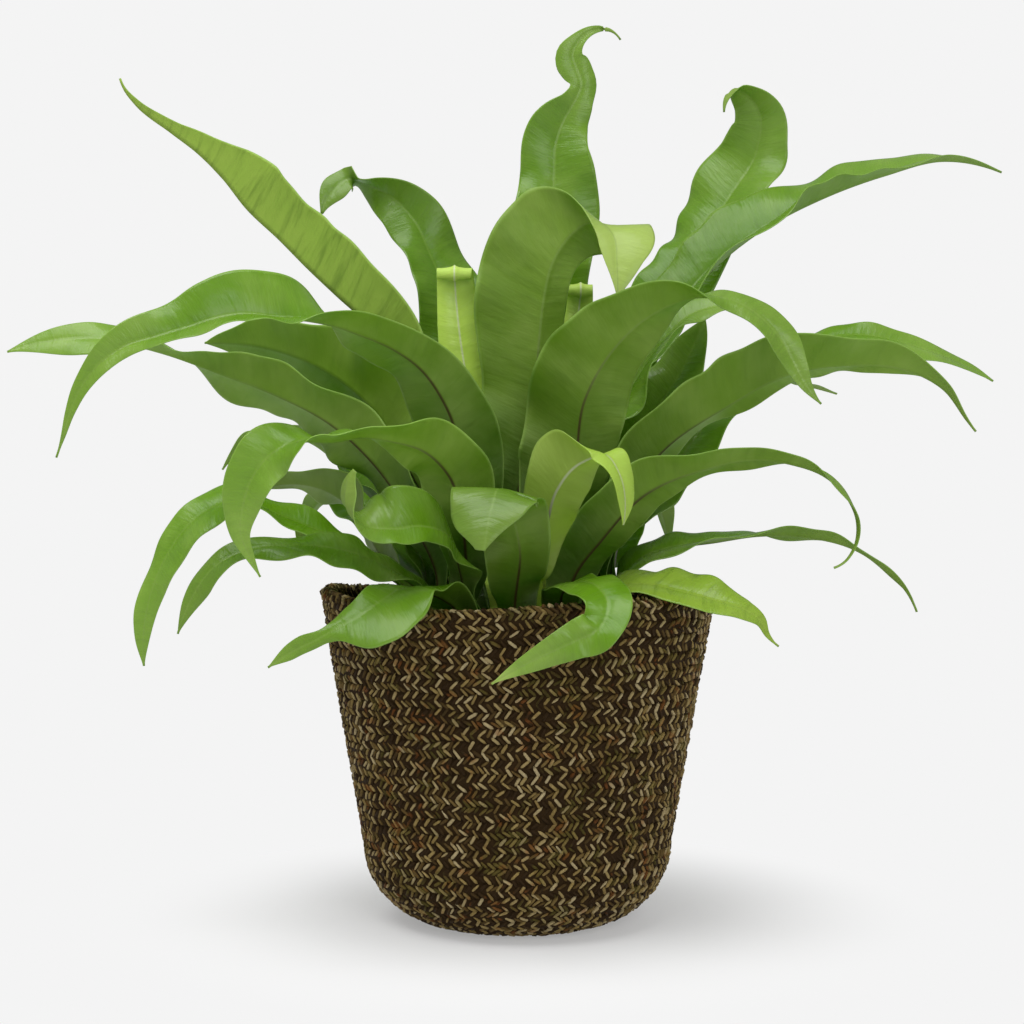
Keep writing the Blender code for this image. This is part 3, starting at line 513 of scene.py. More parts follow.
RIGHT_SHIFT = 2.1  # the right edge's waves are this far ahead of the left's, in radians
RIPPLE_LENGTH = 25.0
RIPPLE_HEIGHT = 2.1  # on a half 22 mm wide
RIPPLE_WIDTH = 22.0
CAMBER = 0.05
GREEN = "frond"
PALE_GREEN = "young_frond"
YELLOW_GREEN = "yellow_frond"
LEAF_PAINT = {
    # slot: the upper face, the lower face, the pale tip, also painted on the lit tips as light, and the light
    # that comes through
    GREEN: ((100, 142, 24), (112, 144, 34), (198, 218, 124), (140, 192, 4)),
    PALE_GREEN: ((188, 216, 92), (186, 212, 98), (196, 222, 104), (200, 230, 70)),
    YELLOW_GREEN: ((140, 170, 56), (142, 170, 64), (178, 196, 92), (156, 200, 36)),
}
# by slot: how strongly the veins streak the blade, painted shade darkens its foot and its midrib shows where
# not brown
STREAKING = {GREEN: 0.16, PALE_GREEN: 0.1, YELLOW_GREEN: 0.42}
PAINTED_FOOT_SHADE = {GREEN: 0.95, PALE_GREEN: 0.0, YELLOW_GREEN: 0.95}
RIB_STRENGTH = {GREEN: 0.25, PALE_GREEN: 0.6, YELLOW_GREEN: 0.25}
# the pale fronds' near-white midrib is partly their own pale rib and partly a painted highlight along it
RIB_COLOUR_AND_HIGHLIGHT = {GREEN: (160, 194, 98), PALE_GREEN: (238, 246, 208), YELLOW_GREEN: (176, 202, 90)}
# dark green of the painted shade at the fronds' feet and of their vein streaks
SHADE_AND_VEIN_GREEN = (38, 70, 0)
RIB_BROWN = (70, 50, 22)
# pale green of a painted highlight along the blades' rims
PAINTED_RIM_HIGHLIGHT = (160, 194, 98)
VEIN_SLANT = 0.3  # how far the veins run forwards on their way out
FROND_SHIFT = 60.0  # keeps one frond's streaks unlike the next one's
SEEN_THROUGH = 0.38  # share of a blade's light that comes through it
# painted light: these fronds' tips are painted pale as if lit, and more light comes through them
LIT_TIPS = {"centre_large": 0.78, "front_foldover": 0.7, "right_over_rim": 0.9}  # share where each starts
TIP_FADE = 0.1
MIDDLE_TONE = 0.5
TONE_CHANCE = 0.04
TONES = {
    # how light a frond is beside the rest, from 0 to 1, where it isn't MIDDLE_TONE
    "left_top_back": 0.24, "back_centre_tall": 0.4, "right_back_tall": 0.4, "right_front_arch": 0.44,
    "left_low_outer": 0.82, "left_mid_arch": 0.75, "left_behind": 0.75, "left_arch": 0.56,
    "left_horizontal": 0.63, "right_over_rim": 0.7, "front_foldover": 0.03, "front_folded": 0.25,
    "left_dark": 0.3, "left_low_inner": 0.38, "upper_left_long": 0.66, "right_yellow": 0.58,
    "right_top_long": 0.4, "crozier_left": 0.55,
}


def leaf_parts(tree):
    """The places that a blade's points carry: run, across, share, edge, under, tint and the lit tips' painted
    light.
    """
    parts = []
    for name in ("leaf", "blade"):
        carried = add_node(tree, "ShaderNodeAttribute", attribute_name=name).outputs["Vector"]
        parts += wired(tree, "ShaderNodeSeparateXYZ", Vector=carried).outputs
    return [*parts, add_node(tree, "ShaderNodeAttribute", attribute_name="lit_tip").outputs["Fac"]]


def fade(tree, value, start, end):
    """0 to 1, eased, while the value goes from start to end."""
    node = add_node(tree, "ShaderNodeMapRange", interpolation_type="SMOOTHSTEP")
    return set_inputs(tree, node, Value=value, From_Min=start, From_Max=end).outputs[0]


def vein_group():
    """Streaks that run out from the midrib, a little forwards, as the veins do."""
    takes = dict(Run="Float", Away="Float", Tint="Float")
    tree, given, result = new_group("leaf_veins", "ShaderNodeTree", takes, dict(Streak="Float"))
    slanted = maths(tree, "MULTIPLY_ADD", given["Away"], -VEIN_SLANT, given["Run"])
    shift = maths(tree, "MULTIPLY", given["Tint"], FROND_SHIFT)
    spot = wired(tree, "ShaderNodeCombineXYZ", X=maths(tree, "MULTIPLY", slanted, 0.3),
                 Y=maths(tree, "MULTIPLY", given["Away"], 0.05), Z=shift)
    set_inputs(tree, result, Streak=noise(tree, spot, scale=1.0, detail=4.0, roughness=0.6))
    return tree


leaf_veins = vein_group()


def rib_masks(tree, slot, away, share, under):
    """How brown the midrib is, and how strongly it shows."""
    reach = maths(tree, "MULTIPLY_ADD", under, 0.28, 0.25)
    brown = fade(tree, maths(tree, "DIVIDE", share, reach), 1.2, 0.7)
    near = fade(tree, away, maths(tree, "MULTIPLY_ADD", share, -0.6, 1.1), 0.2)
    return brown, maths(tree, "MULTIPLY", near, maths(tree, "MULTIPLY_ADD", brown, 0.62, RIB_STRENGTH[slot]))


def mix_shaders(tree, share, first, second):
    """Mixes two shader nodes on the material's surface."""
    mixed = wired(tree, "ShaderNodeMixShader", Fac=share)
    feed(tree, mixed.inputs[1], first)
    feed(tree, mixed.inputs[2], second)
    feed(tree, tree.nodes["Material Output"].inputs["Surface"], mixed)


def leaf_material(slot):
    upper, lower, tip, through = (paint(rgb) for rgb in LEAF_PAINT[slot])
    shade_and_vein_green = paint(SHADE_AND_VEIN_GREEN)
    material, tree, shader = new_material(slot + "_blade")
    run, across, share, edge, under, tint, lit_tip = leaf_parts(tree)
    away = maths(tree, "ABSOLUTE", across)
    streak = placed(tree, leaf_veins, Run=run, Away=away, Tint=tint)["Streak"]
    mottle = noise(tree, in_millimetres(tree), scale=0.045)
    colour = blend(tree, under, upper, lower)
    # painted shade: the blade darkens towards its foot, in the shade of the plant's middle
    colour = laid_over(tree, colour, fade(tree, share, 0.54, 0.12), PAINTED_FOOT_SHADE[slot], shade_and_vein_green)
    colour = laid_over(tree, colour, fade(tree, mottle, 0.35, 0.75), 0.16, tip)
    colour = laid_over(tree, colour, fade(tree, streak, 0.45, 0.75), STREAKING[slot], shade_and_vein_green)
    colour = laid_over(tree, colour, fade(tree, share, 0.6, 1.0), 0.2, tip)
    # painted highlight: a pale band along the blade's rim
    colour = laid_over(tree, colour, fade(tree, edge, 0.94, 1.0), 0.5, paint(PAINTED_RIM_HIGHLIGHT))
    lightness = maths(tree, "MULTIPLY_ADD", tint, 0.8, 0.6)
    toned = wired(tree, "ShaderNodeHueSaturation", Color=colour, Value=lightness)
    # painted light: the lit tips are painted pale
    colour = laid_over(tree, toned, lit_tip, 0.9, tip)
    brown, rib = rib_masks(tree, slot, away, share, under)
    # the midrib's own colour, and on the pale fronds a painted highlight along it too
    colour = blend(tree, rib, colour, blend(tree, brown, paint(RIB_COLOUR_AND_HIGHLIGHT[slot]), paint(RIB_BROWN)))
    height = maths(tree, "MULTIPLY_ADD", mottle, 2.0, streak)
    normal = bump(tree, height, strength=0.35, distance=0.0012)
    rough = maths(tree, "MULTIPLY_ADD", under, 0.26, maths(tree, "MULTIPLY_ADD", streak, 0.2, 0.17))
    set_inputs(tree, shader, Base_Color=colour, Roughness=rough, Specular_IOR_Level=0.36, Normal=normal)
    glow = blend(tree, rib, blend(tree, lit_tip, through, tip), paint(RIB_BROWN))
    lit_through = wired(tree, "ShaderNodeBsdfTranslucent", Normal=normal, Color=glow)
    mix_shaders(tree, maths(tree, "MULTIPLY_ADD", lit_tip, 0.2, SEEN_THROUGH), shader, lit_through)
    return material


leaf_materials = {slot: leaf_material(slot) for slot in LEAF_PAINT}


def unit(v):
    return v / np.linalg.norm(v, axis=-1, keepdims=True)


def smooth_curve(points):
    """Evenly spaced stations on a smooth curve through the given points."""
    p = np.asarray(points, float)
    gap = np.linalg.norm(np.diff(p, axis=0), axis=1)
    chord = np.diff(p, axis=0) / gap[:, None]
    slope = np.empty_like(p)
    near = chord[:-1] * gap[1:, None] + chord[1:] * gap[:-1, None]
    slope[1:-1] = near / (gap[1:] + gap[:-1])[:, None]
    slope[0] = chord[0]
    slope[-1] = 2 * chord[-1] - slope[-2]
    start = np.concatenate([[0], np.cumsum(gap)])
    s = np.linspace(0, start[-1], 6 * FINE)
    i = np.clip(np.searchsorted(start, s) - 1, 0, len(gap) - 1)
    h = ((s - start[i]) / gap[i])[:, None]
    pull = gap[i][:, None]
    curve = (2 * h**3 - 3 * h**2 + 1) * p[i] + (3 * h**2 - 2 * h**3) * p[i + 1]
    curve += (h**3 - 2 * h**2 + h) * pull * slope[i] + (h**3 - h**2) * pull * slope[i + 1]
    run = np.concatenate([[0], np.cumsum(np.linalg.norm(np.diff(curve, axis=0), axis=1))])
    even = np.linspace(0, run[-1], FINE)
    return np.stack([np.interp(even, run, curve[:, k]) for k in range(3)], 1), even


def along(values, u):
    """Values given at even steps along a frond, with a smooth curve between them."""
    v = np.atleast_1d(np.asarray(values, float))
    if len(v) == 1:
        return np.full_like(u, v[0])
    x = u * (len(v) - 1)
    i = np.clip(x.astype(int), 0, len(v) - 2)
    f = x - i
    padded = np.concatenate([[2 * v[0] - v[1]], v, [2 * v[-1] - v[-2]]])
    a, b, c, d = padded[i], padded[i + 1], padded[i + 2], padded[i + 3]
    curve = (2 * a - 5 * b + 4 * c - d) * f**2 + (3 * b - a - 3 * c + d) * f**3
    return 0.5 * (2 * b + (c - a) * f + curve)


def rolled_tip(tip):
    """The spiral that a crozier's top still makes, towards -Y."""
    points = []
    for step in range(1, SCROLL_STEPS + 1):
        a = math.radians(SCROLL_STEP * step)
        r = SCROLL_RADIUS - SCROLL_SHRINK * step
        points.append((tip[0], tip[1] - SCROLL_RADIUS + r * math.cos(a), tip[2] + r * math.sin(a)))
    return points


def midrib(shape):
    """Stations of the midrib, the ways across the blade and out of its upper face, and the run in mm."""
    azimuth, polar = math.radians(shape["azimuth"]), math.radians(shape["polar"])
    flat = math.sin(polar)
    out = np.array([math.cos(azimuth) * flat, math.sin(azimuth) * flat, math.cos(polar)])
    foot = np.array([0.0, 0.0, CROWN_Z]) + out * (CROWN_RADIUS + GAP)
    points = [foot, foot + out * STALK, *shape["route"]]
    if shape["scroll"]:
        points += rolled_tip(shape["route"][-1])
    line, run = smooth_curve(points)
    ahead = unit(np.gradient(line, axis=0))
    heading = math.radians(shape["heading"])
    across = np.array([-math.sin(heading), math.cos(heading), 0.0])
    side = unit(across - ahead * (ahead @ across)[:, None])
    face = np.cross(ahead, side)
    roll = np.radians(along(shape["roll"], np.linspace(0, 1, FINE)))[:, None]
    return line, side * np.cos(roll) + face * np.sin(roll), face * np.cos(roll) - side * np.sin(roll), run


def edge_line(u, share, half):
    """One half's width along the blade, its corners softened."""
    soft = np.hanning(SOFTENING) / np.hanning(SOFTENING).sum()
    padded = np.pad(np.interp(u, share, half), SOFTENING // 2, "edge")
    return np.maximum(np.convolve(padded, soft, "valid"), LEAST_HALF)


def outline(edges):
    """An outline from edges, with the usual stalk or point added where they have none of their own."""
    stalk = STALK_EDGES if edges[0][0] > 0 else ()
    tip = TIP_EDGES if edges[-1][0] < 1 else ()
    return np.transpose([*stalk, *edges, *tip])


def half_widths(shape, u):
    """The left and the right half of a blade, which narrows to a stalk below and to a point above."""
    if shape["edges"]:
        share, left, right = outline(shape["edges"])
        return [edge_line(u, share, left), edge_line(u, share, right)]
    full, stem, belly, drip = shape["width"] / 2, shape["stem"] / 2, shape["belly"], shape["drip"]
    widening = stem + (full - stem) * ease(u / belly) ** 0.85
    s = np.clip((u - belly) / (1 - belly), 0, 1)
    taper = (1 - drip) * (1 - s**2.6) + drip * (1 + np.cos(math.pi * s**0.9)) / 2
    if shape["scroll"]:
        taper = 1 - 0.25 * s
    half = np.maximum(np.where(u < belly, widening, full * taper), LEAST_HALF)
    return [half, half]


def steps_across(half):
    """Shares across one half of a blade, from the side of the midrib to the rim."""
    rib = np.minimum(RIB_HALF / half, WIDEST_RIB)
    return rib + (1 - rib) * np.array(ACROSS)


def blade(shape):
    """The blade's middle surface, with each point's place along and across it in mm and as shares."""
    line, side, face, run = midrib(shape)
    u = np.linspace(0, 1, FINE)
    left_half, right_half = (half[:, None] for half in half_widths(shape, u))
    v = np.concatenate([-steps_across(right_half)[:, ::-1], np.zeros((FINE, 1)), steps_across(left_half)], 1)
    half = np.where(v < 0, right_half, left_half)
    left, right, count, phase = shape["wave"]
    reach = ease(u / STILL_END) * ease((1 - u) / STILL_END)
    if shape["scroll"]:
        reach = reach * (u < SCROLL_START)
    reach = reach[:, None]
    run = run[:, None]
    offset = np.where(v < 0, RIGHT_SHIFT, 0.0)
    turn = 2 * math.pi * count * u[:, None] + phase
    ripple = np.sin(turn + offset) + 0.35 * np.sin(1.7 * turn + 2 * offset + 1.3)
    lift = reach * np.where(v < 0, right, left) * np.abs(v) ** 1.4 * ripple
    fold = along(shape["fold"], u)[:, None]
    lift = lift + fold * half * np.abs(v)
    fine = 2 * math.pi * run / RIPPLE_LENGTH + 1.4 * np.sin(run / 17.0 + phase + offset)
    small = np.sin(fine + 3 * offset + phase) * (0.6 + 0.4 * np.sin(run / 29.0 + 2 * offset))
    free = 1 - 0.7 * np.abs(fold)
    lift = lift + RIPPLE_HEIGHT * free * reach * half / RIPPLE_WIDTH * np.abs(v) ** 2.5 * small
    lift = lift + CAMBER * half * np.sin(math.pi * np.abs(v))
    spread = half * v * (1 + 0.05 * np.sin(turn + 1.0 + 2 * offset))
    points = line[:, None] + side[:, None] * spread[:, :, None] + face[:, None] * lift[:, :, None]
    return points, np.broadcast_to(run, v.shape), spread, np.broadcast_to(u[:, None], v.shape), v


def grid_faces(rows, columns, first, flip):
    i, j = np.meshgrid(np.arange(rows - 1), np.arange(columns - 1), indexing="ij")
    a = first + (i * columns + j).ravel()
    corners = np.stack([a, a + 1, a + columns + 1, a + columns], 1)
    return corners[:, ::-1] if flip else corners


def frond(name, azimuth, polar, route, *, roll, wave, fold=FOLD, **more):
    """One frond: where its foot stands on the crown, its midrib's route and the shape of its blade.

    azimuth and polar place the foot, in degrees. The blade's outline is either edges, its left and
    right half in mm at some shares of its length, or width, stem, belly and drip: its widest, its
    foot, the share of the length where it is widest, and how finely the tip is drawn out. roll turns
    the blade about its midrib, in degrees, and fold raises its edges, each one value or several at
    even steps from foot to tip. wave is the left and right ripple in mm, the number of ripples and
    their phase. heading is the way the blade faces where that isn't azimuth, scroll rolls its top up,
    and colour is its material slot.
    """
    shape = dict(azimuth=azimuth, polar=polar, route=route, roll=roll, fold=fold, wave=wave)
    shape.update(dict(edges=None, heading=azimuth, scroll=False, colour=GREEN), **more)
    middle, run, across, share, v = blade(shape)
    rows, columns = v.shape
    normal = unit(np.cross(np.gradient(middle, axis=0), np.gradient(middle, axis=1)))
    thin = BLADE / 2 * (1 - EDGE_THINNING * np.abs(v) ** 2)[:, :, None]
    upper = middle + normal * thin
    lower = middle - normal * thin
    centre = columns // 2
    lower[:, centre] -= normal[:, centre] * (RIB_DEPTH * (1 - RIB_TAPER * share[:, centre]))[:, None]
    upper[:, centre] -= normal[:, centre] * RIB_GROOVE
    points = np.concatenate([upper.reshape(-1, 3), lower.reshape(-1, 3)])
    other = rows * columns
    faces = [grid_faces(rows, columns, 0, True), grid_faces(rows, columns, other, False)]
    border = np.concatenate([np.arange(columns), np.arange(1, rows) * columns + columns - 1,
                             other - 1 - np.arange(1, columns), np.arange(rows - 2, 0, -1) * columns])
    after = np.roll(border, -1)
    faces.append(np.stack([border, after, after + other, border + other], 1))
    mesh = bpy.data.meshes.new(name + "_blade")
    mesh.from_pydata((points * MM).tolist(), [], np.concatenate(faces).tolist())
    leaf = np.stack([run, across, share], 2).reshape(-1, 3)
    tint = TONES.get(name, MIDDLE_TONE) + TONE_CHANCE * math.sin(7 * azimuth + polar)
    under = np.repeat([0.0, 1.0], other)
    # the mask of the tip that is painted pale as lit
    lit_tip = np.tile(ease((share.ravel() - LIT_TIPS.get(name, 1.0)) / TIP_FADE), 2)
    flat = np.stack([np.tile(np.abs(v).ravel(), 2), under, np.full(2 * other, tint)], 1)
    store(mesh, "leaf", np.tile(leaf, (2, 1)))
    store(mesh, "blade", flat)
    store(mesh, "lit_tip", lit_tip)
    mesh.shade_smooth()
    slot = shape["colour"]
    mesh.materials.append(leaf_materials[slot])
    piece = add_object(name + "_blade", mesh)
    dress_node(name, leaf_materials[slot])
    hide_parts(name)
    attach(piece, "root")


frond("crozier_left", 205, 12,
      [(-13, 2, 167), (-16, 2, 204), (-22, 0, 242), (-27, -2, 274), (-29, -2, 299)],
      width=21, stem=9, belly=0.6, drip=0.0, roll=0, fold=0.1, wave=(0.6, 0.6, 3, 0),
      heading=90, scroll=True, colour=PALE_GREEN)
frond("crozier_right", 40, 14,
      [(8, 10, 166), (15, 18, 213), (23, 24, 251), (28, 26, 275), (30, 26, 293)],
      width=15, stem=8, belly=0.6, drip=0.0, roll=0, fold=0.1, wave=(0.6, 0.6, 3, 1),
      heading=90, scroll=True, colour=PALE_GREEN)
frond("centre_large", 272, 17,
      [(-2, -12, 168), (2, -14, 209), (8, -15, 245), (10, -15, 270), (12, -16, 288), (16, -17, 304),
       (23, -19, 315), (31, -24, 321), (38, -33, 320), (43, -40, 313), (44, -46, 301), (44, -50, 286)],
      edges=((0.2, 9, 10), (0.3, 11, 18), (0.4, 11, 24), (0.5, 11, 28), (0.6, 11, 30), (0.7, 11, 33),
             (0.75, 13, 30), (0.785, 17, 12), (0.84, 23, 7), (0.9, 18, 8)),
      roll=(0, 0, 0, 0, 0, 0, 0, -5, -45, 0, 0), fold=0.1, wave=(2, 2, 4, 0.5))
frond("back_centre_tall", 92, 17,
      [(-1, 18, 166), (4, 30, 228), (12, 38, 285), (17, 40, 334), (18, 43, 351), (19, 45, 366),
       (23, 46, 378), (28, 46, 387), (31, 46, 395), (29, 46, 402), (27, 46, 409), (30, 46, 415),
       (36, 46, 420), (44, 46, 421), (50, 46, 416)],
      edges=((0.3, 14, 14), (0.5, 20, 21), (0.64, 19, 22), (0.7, 17, 20), (0.75, 16, 16),
             (0.78, 14, 13), (0.81, 8, 10), (0.84, 4, 7), (0.87, 9, 7), (0.89, 11, 7), (0.91, 6, 3),
             (0.94, 3, 2), (0.97, 1, 1)),
      roll=0, wave=(3, 3, 5, 1.5))

# The middle fronds on the left. Full-grown and heavier than the inner ones, they rise out of the crown and
# then arch over under their own weight, some of them twisting on the way.

frond("upper_left_long", 150, 38,
      [(-36, 21, 170), (-44, 26, 205), (-55, 31, 243), (-74, 38, 281), (-86, 42, 292), (-101, 47, 306),
       (-116, 52, 321), (-132, 57, 336), (-144, 60, 351), (-157, 63, 364), (-170, 66, 374),
       (-188, 68, 388), (-194, 68, 396), (-196, 68, 401)],
      edges=((0, 5, 5), (0.1, 6, 5), (0.3, 14, 11), (0.47, 17, 12), (0.58, 17, 12), (0.66, 17, 12),
             (0.72, 19, 12), (0.78, 13, 10), (0.83, 8, 7), (0.89, 4, 4), (0.96, 2, 2)),
      roll=(0, 20, 38, 45, 45, 45, 45, 45), fold=(0.2, 0.4, 0.8, 1, 1, 1, 1, 0.6), wave=(1, 1, 5.5, 0.3),
      colour=YELLOW_GREEN)
frond("left_top_back", 110, 36,
      [(-16, 42, 174), (-24, 60, 223), (-31, 72, 262), (-35, 78, 293), (-44, 84, 316), (-52, 88, 333),
       (-62, 90, 344), (-74, 90, 351), (-84, 89, 354), (-92, 86, 348), (-98, 83, 336)],
      edges=((0.3, 13, 14), (0.5, 18, 19), (0.6, 16, 19), (0.7, 15, 17), (0.77, 15, 15), (0.82, 12, 12),
             (0.87, 8, 8), (0.91, 6, 6), (0.95, 8, 8)),
      roll=(0, 0, 0, 0, 0, 0, 0, 0, -20, -130, -170), wave=(4, 4, 4.5, 2))
frond("left_arch", 212, 37,
      [(-24, -25, 170), (-20, -35, 196), (-25, -43, 219), (-32, -50, 239), (-43, -56, 255),
       (-56, -61, 264), (-68, -66, 269), (-79, -69, 273), (-89, -72, 275), (-105, -76, 276),
       (-118, -79, 277), (-129, -82, 275), (-141, -84, 271), (-154, -86, 267), (-167, -87, 263),
       (-177, -88, 256), (-185, -88, 246), (-190, -88, 235), (-193, -88, 225), (-196, -88, 216)],
      edges=((0.2, 12, 12), (0.3, 19, 18), (0.36, 17, 18), (0.42, 13, 18), (0.48, 10, 17),
             (0.53, 11, 17), (0.58, 16, 20), (0.64, 17, 19), (0.7, 15, 15), (0.78, 10, 11),
             (0.83, 6, 8), (0.86, 6, 6), (0.9, 4, 4), (0.94, 2, 2)),
      roll=(10, 30, 45, 45, 42, 25, -30, -40, -45, -45, -60),
      fold=(0.2, 0.2, 0.3, 0.3, 0.3, 0.3, 0.5, 0.6, 0.5, 0.2, 0.1), wave=(1.5, 2, 4.5, 0.4))
frond("left_behind", 176, 40,
      [(-33, 0, 173), (-50, 4, 209), (-68, 10, 238), (-91, 16, 256), (-121, 22, 267), (-149, 26, 269)],
      width=46, stem=8, belly=0.6, drip=0.0, roll=(0, 20, 45, 50, 45), wave=(3, 3, 6, 0))
frond("left_mid_arch", 231, 50,
      [(-23, -40, 163), (-25, -54, 188), (-30, -66, 208), (-41, -75, 219), (-53, -81, 223),
       (-65, -84, 225), (-80, -87, 223), (-92, -88, 223), (-104, -88, 218), (-113, -88, 207),
       (-117, -87, 195), (-118, -86, 183), (-114, -85, 173), (-110, -85, 165)],
      edges=((0.25, 14, 12), (0.36, 19, 15), (0.45, 15, 11), (0.53, 13, 8), (0.58, 12, 8),
             (0.64, 12, 12), (0.7, 11, 13), (0.75, 11, 13), (0.81, 10, 12), (0.86, 8, 9), (0.92, 4, 4),
             (0.96, 2, 2)),
      roll=(0, 20, 40, 45, 42, 35, 10, -20, -30, -35, -35), wave=(3, 3, 5, 0))
frond("left_horizontal", 194, 54,
      [(-36, -14, 156), (-47, -16, 184), (-65, -12, 211), (-87, -8, 231), (-112, -4, 244),
       (-138, 0, 254), (-166, 2, 264), (-195, 4, 270), (-218, 4, 269), (-238, 4, 264)],
      edges=((0, 4, 4), (0.1, 5, 5), (0.3, 14, 14), (0.45, 17, 20), (0.55, 15, 22), (0.65, 12, 19),
             (0.72, 11, 17), (0.8, 12, 13), (0.88, 11, 9), (0.95, 5, 5)),
      roll=(0, 15, 30, 40, 42, 40, 36, 20, -30, -55, -55), fold=(0.2, 0.2, 0.3, 0.2, 0),
      wave=(3, 2.5, 5, 2))

# The middle fronds on the right, grown the same way. The longest reach as far out as the longest on
# the left.

frond("right_back_tall", 58, 36,
      [(14, 40, 174), (35, 60, 228), (60, 74, 272), (85, 86, 311), (107, 94, 344),
       (122, 96, 370), (123, 94, 387), (117, 92, 396), (110, 89, 399), (105, 86, 393), (104, 85, 387)],
      edges=((0.3, 14, 15), (0.5, 17, 20), (0.6, 17, 23), (0.7, 22, 24), (0.8, 22, 20), (0.86, 17, 14),
             (0.9, 14, 12), (0.94, 9, 6), (0.97, 4, 3)),
      roll=(0, 10, 10, 0, 0, 30), fold=0.12, wave=(3, 3, 4, 0))
frond("right_top_long", 30, 38,
      [(19, 24, 175), (40, 38, 223), (64, 48, 266), (92, 54, 303), (122, 58, 327),
       (151, 60, 342), (181, 62, 353), (210, 62, 360), (238, 60, 354)],
      edges=((0.25, 15, 15), (0.4, 19, 20), (0.5, 17, 20), (0.58, 17, 20), (0.68, 21, 20),
             (0.8, 17, 15), (0.9, 12, 10), (0.96, 5, 5)),
      roll=(10, 20, 18, 12, 0, 15), fold=(0.2, 0.4, 0.6, 0.6, 0.4, 0.2), wave=(2.5, 3, 5, 1))
frond("right_front_arch", 322, 34,
      [(16, -25, 178), (26, -33, 213), (30, -42, 241), (42, -48, 263), (58, -54, 278),
       (78, -58, 286), (96, -62, 283), (112, -64, 270), (121, -65, 255), (126, -65, 246),
       (132, -65, 239)],
      edges=((0.2, 12, 16), (0.3, 17, 26), (0.4, 19, 28), (0.5, 17, 25), (0.6, 14, 18), (0.68, 9, 11),
             (0.76, 6, 5), (0.82, 9, 7), (0.88, 8, 7), (0.94, 4, 4)),
      roll=(-5, -25, -50, -60, -60, -50, -35, -10, 25, 45, 45), wave=(2, 3, 4, 2.4))
frond("right_behind", 352, 35,
      [(17, -5, 177), (32, -4, 214), (51, -4, 244), (68, -4, 269), (83, -4, 282), (100, -6, 284),
       (112, -8, 276)],
      width=42, stem=9, belly=0.5, drip=0.3, roll=(0, 15, 30, 30, 30), fold=0.25, wave=(3, 3, 4, 0))
frond("right_small", 8, 44,
      [(27, 5, 174), (44, 6, 203), (61, 7, 231), (78, 8, 257), (88, 8, 280)],
      width=38, stem=8, belly=0.65, drip=0.0, roll=(0, 15, 35, 45), fold=0.2, wave=(2.5, 2.5, 3, 1))
frond("right_long_upper", 5, 59,
      [(39, 6, 162), (63, 16, 192), (86, 22, 225), (109, 28, 251), (133, 32, 267), (165, 34, 273),
       (196, 32, 266), (228, 30, 251)],
      edges=((0.3, 14, 15), (0.5, 16, 20), (0.6, 11, 19), (0.7, 8, 17), (0.8, 7, 14), (0.9, 6, 9),
             (0.96, 4, 5)),
      roll=(0, 20, 35, 35, 35, 35), wave=(2.5, 2.5, 4, 0))
frond("right_long_lower", 340, 53,
      [(29, -18, 161), (47, -24, 194), (68, -32, 221), (95, -34, 239), (122, -36, 253),
       (149, -36, 257), (174, -34, 255), (192, -32, 246), (203, -30, 232), (207, -30, 227)],
      edges=((0.25, 11, 14), (0.4, 11, 20), (0.5, 8, 22), (0.6, 8, 22), (0.7, 10, 18), (0.8, 4, 13),
             (0.88, 3, 7), (0.94, 2, 3)),
      roll=(0, -12, -38, -38, -30), fold=0.2, wave=(2.5, 2, 4.5, 1))
frond("right_lower_arch", 320, 58,
      [(24, -36, 156), (39, -46, 181), (57, -56, 200), (79, -60, 210), (106, -62, 215),
       (120, -62, 213), (134, -61, 208), (144, -60, 199), (149, -59, 188), (148, -58, 176),
       (143, -58, 169), (139, -58, 167)],
      edges=((0.22, 11, 14), (0.35, 12, 16), (0.45, 9, 14), (0.55, 8, 9), (0.65, 6, 6), (0.75, 3, 4),
             (0.85, 2, 3), (0.93, 2, 2)),
      roll=(0, -30, -40, -35, -30, -30), fold=0.2, wave=(2, 2, 4, 1))

# The small fronds in front. They are this year's and still soft, and each folds over or curls up towards
# its tip.

frond("front_foldover", 284, 38,
      [(4, -48, 161), (12, -62, 184), (17, -74, 202), (27, -86, 214), (37, -94, 217),
       (42, -100, 210), (44, -102, 188)],
      edges=((0, 4, 4), (0.15, 6, 6), (0.3, 10, 9), (0.45, 12, 10), (0.55, 13, 14), (0.62, 12, 19),
             (0.68, 9, 16), (0.74, 5, 7), (0.8, 7, 8), (0.86, 9, 7), (0.93, 5, 5)),
      roll=(0, 0, -20, -30, -20), fold=0.2, wave=(4, 4, 3, 0), colour=PALE_GREEN)
frond("front_folded", 269, 56,
      [(-1, -56, 154), (1, -73, 176), (-3, -86, 193), (-8, -97, 203), (-11, -110, 195),
       (-14, -117, 178)],
      edges=((0, 4, 4), (0.2, 8, 8), (0.4, 12, 14), (0.55, 14, 19), (0.7, 16, 21), (0.8, 18, 20),
             (0.88, 13, 17), (0.94, 6, 13), (1, 0, 3)),
      roll=(0, 0, 0, 10), fold=-0.15, wave=(5, 4, 3.5, 1))
frond("left_curled", 246, 54,
      [(-25, -54, 166), (-27, -68, 176), (-32, -82, 184), (-42, -92, 187), (-54, -98, 186),
       (-65, -102, 188), (-71, -105, 195), (-71, -106, 204), (-68, -107, 211)],
      edges=((0, 4, 4), (0.2, 8, 8), (0.4, 11, 13), (0.5, 9, 14), (0.6, 7, 16), (0.7, 9, 19),
             (0.78, 10, 18), (0.86, 8, 9), (0.93, 7, 7), (1, 1, 1)),
      roll=(0, -20, -50, -60, -50, -20), fold=0.1, wave=(3, 2.5, 3, 1))

# The lowest fronds. They are the oldest, spring from low on the crown and reach out over the basket's rim,
# some of them hanging down past it.

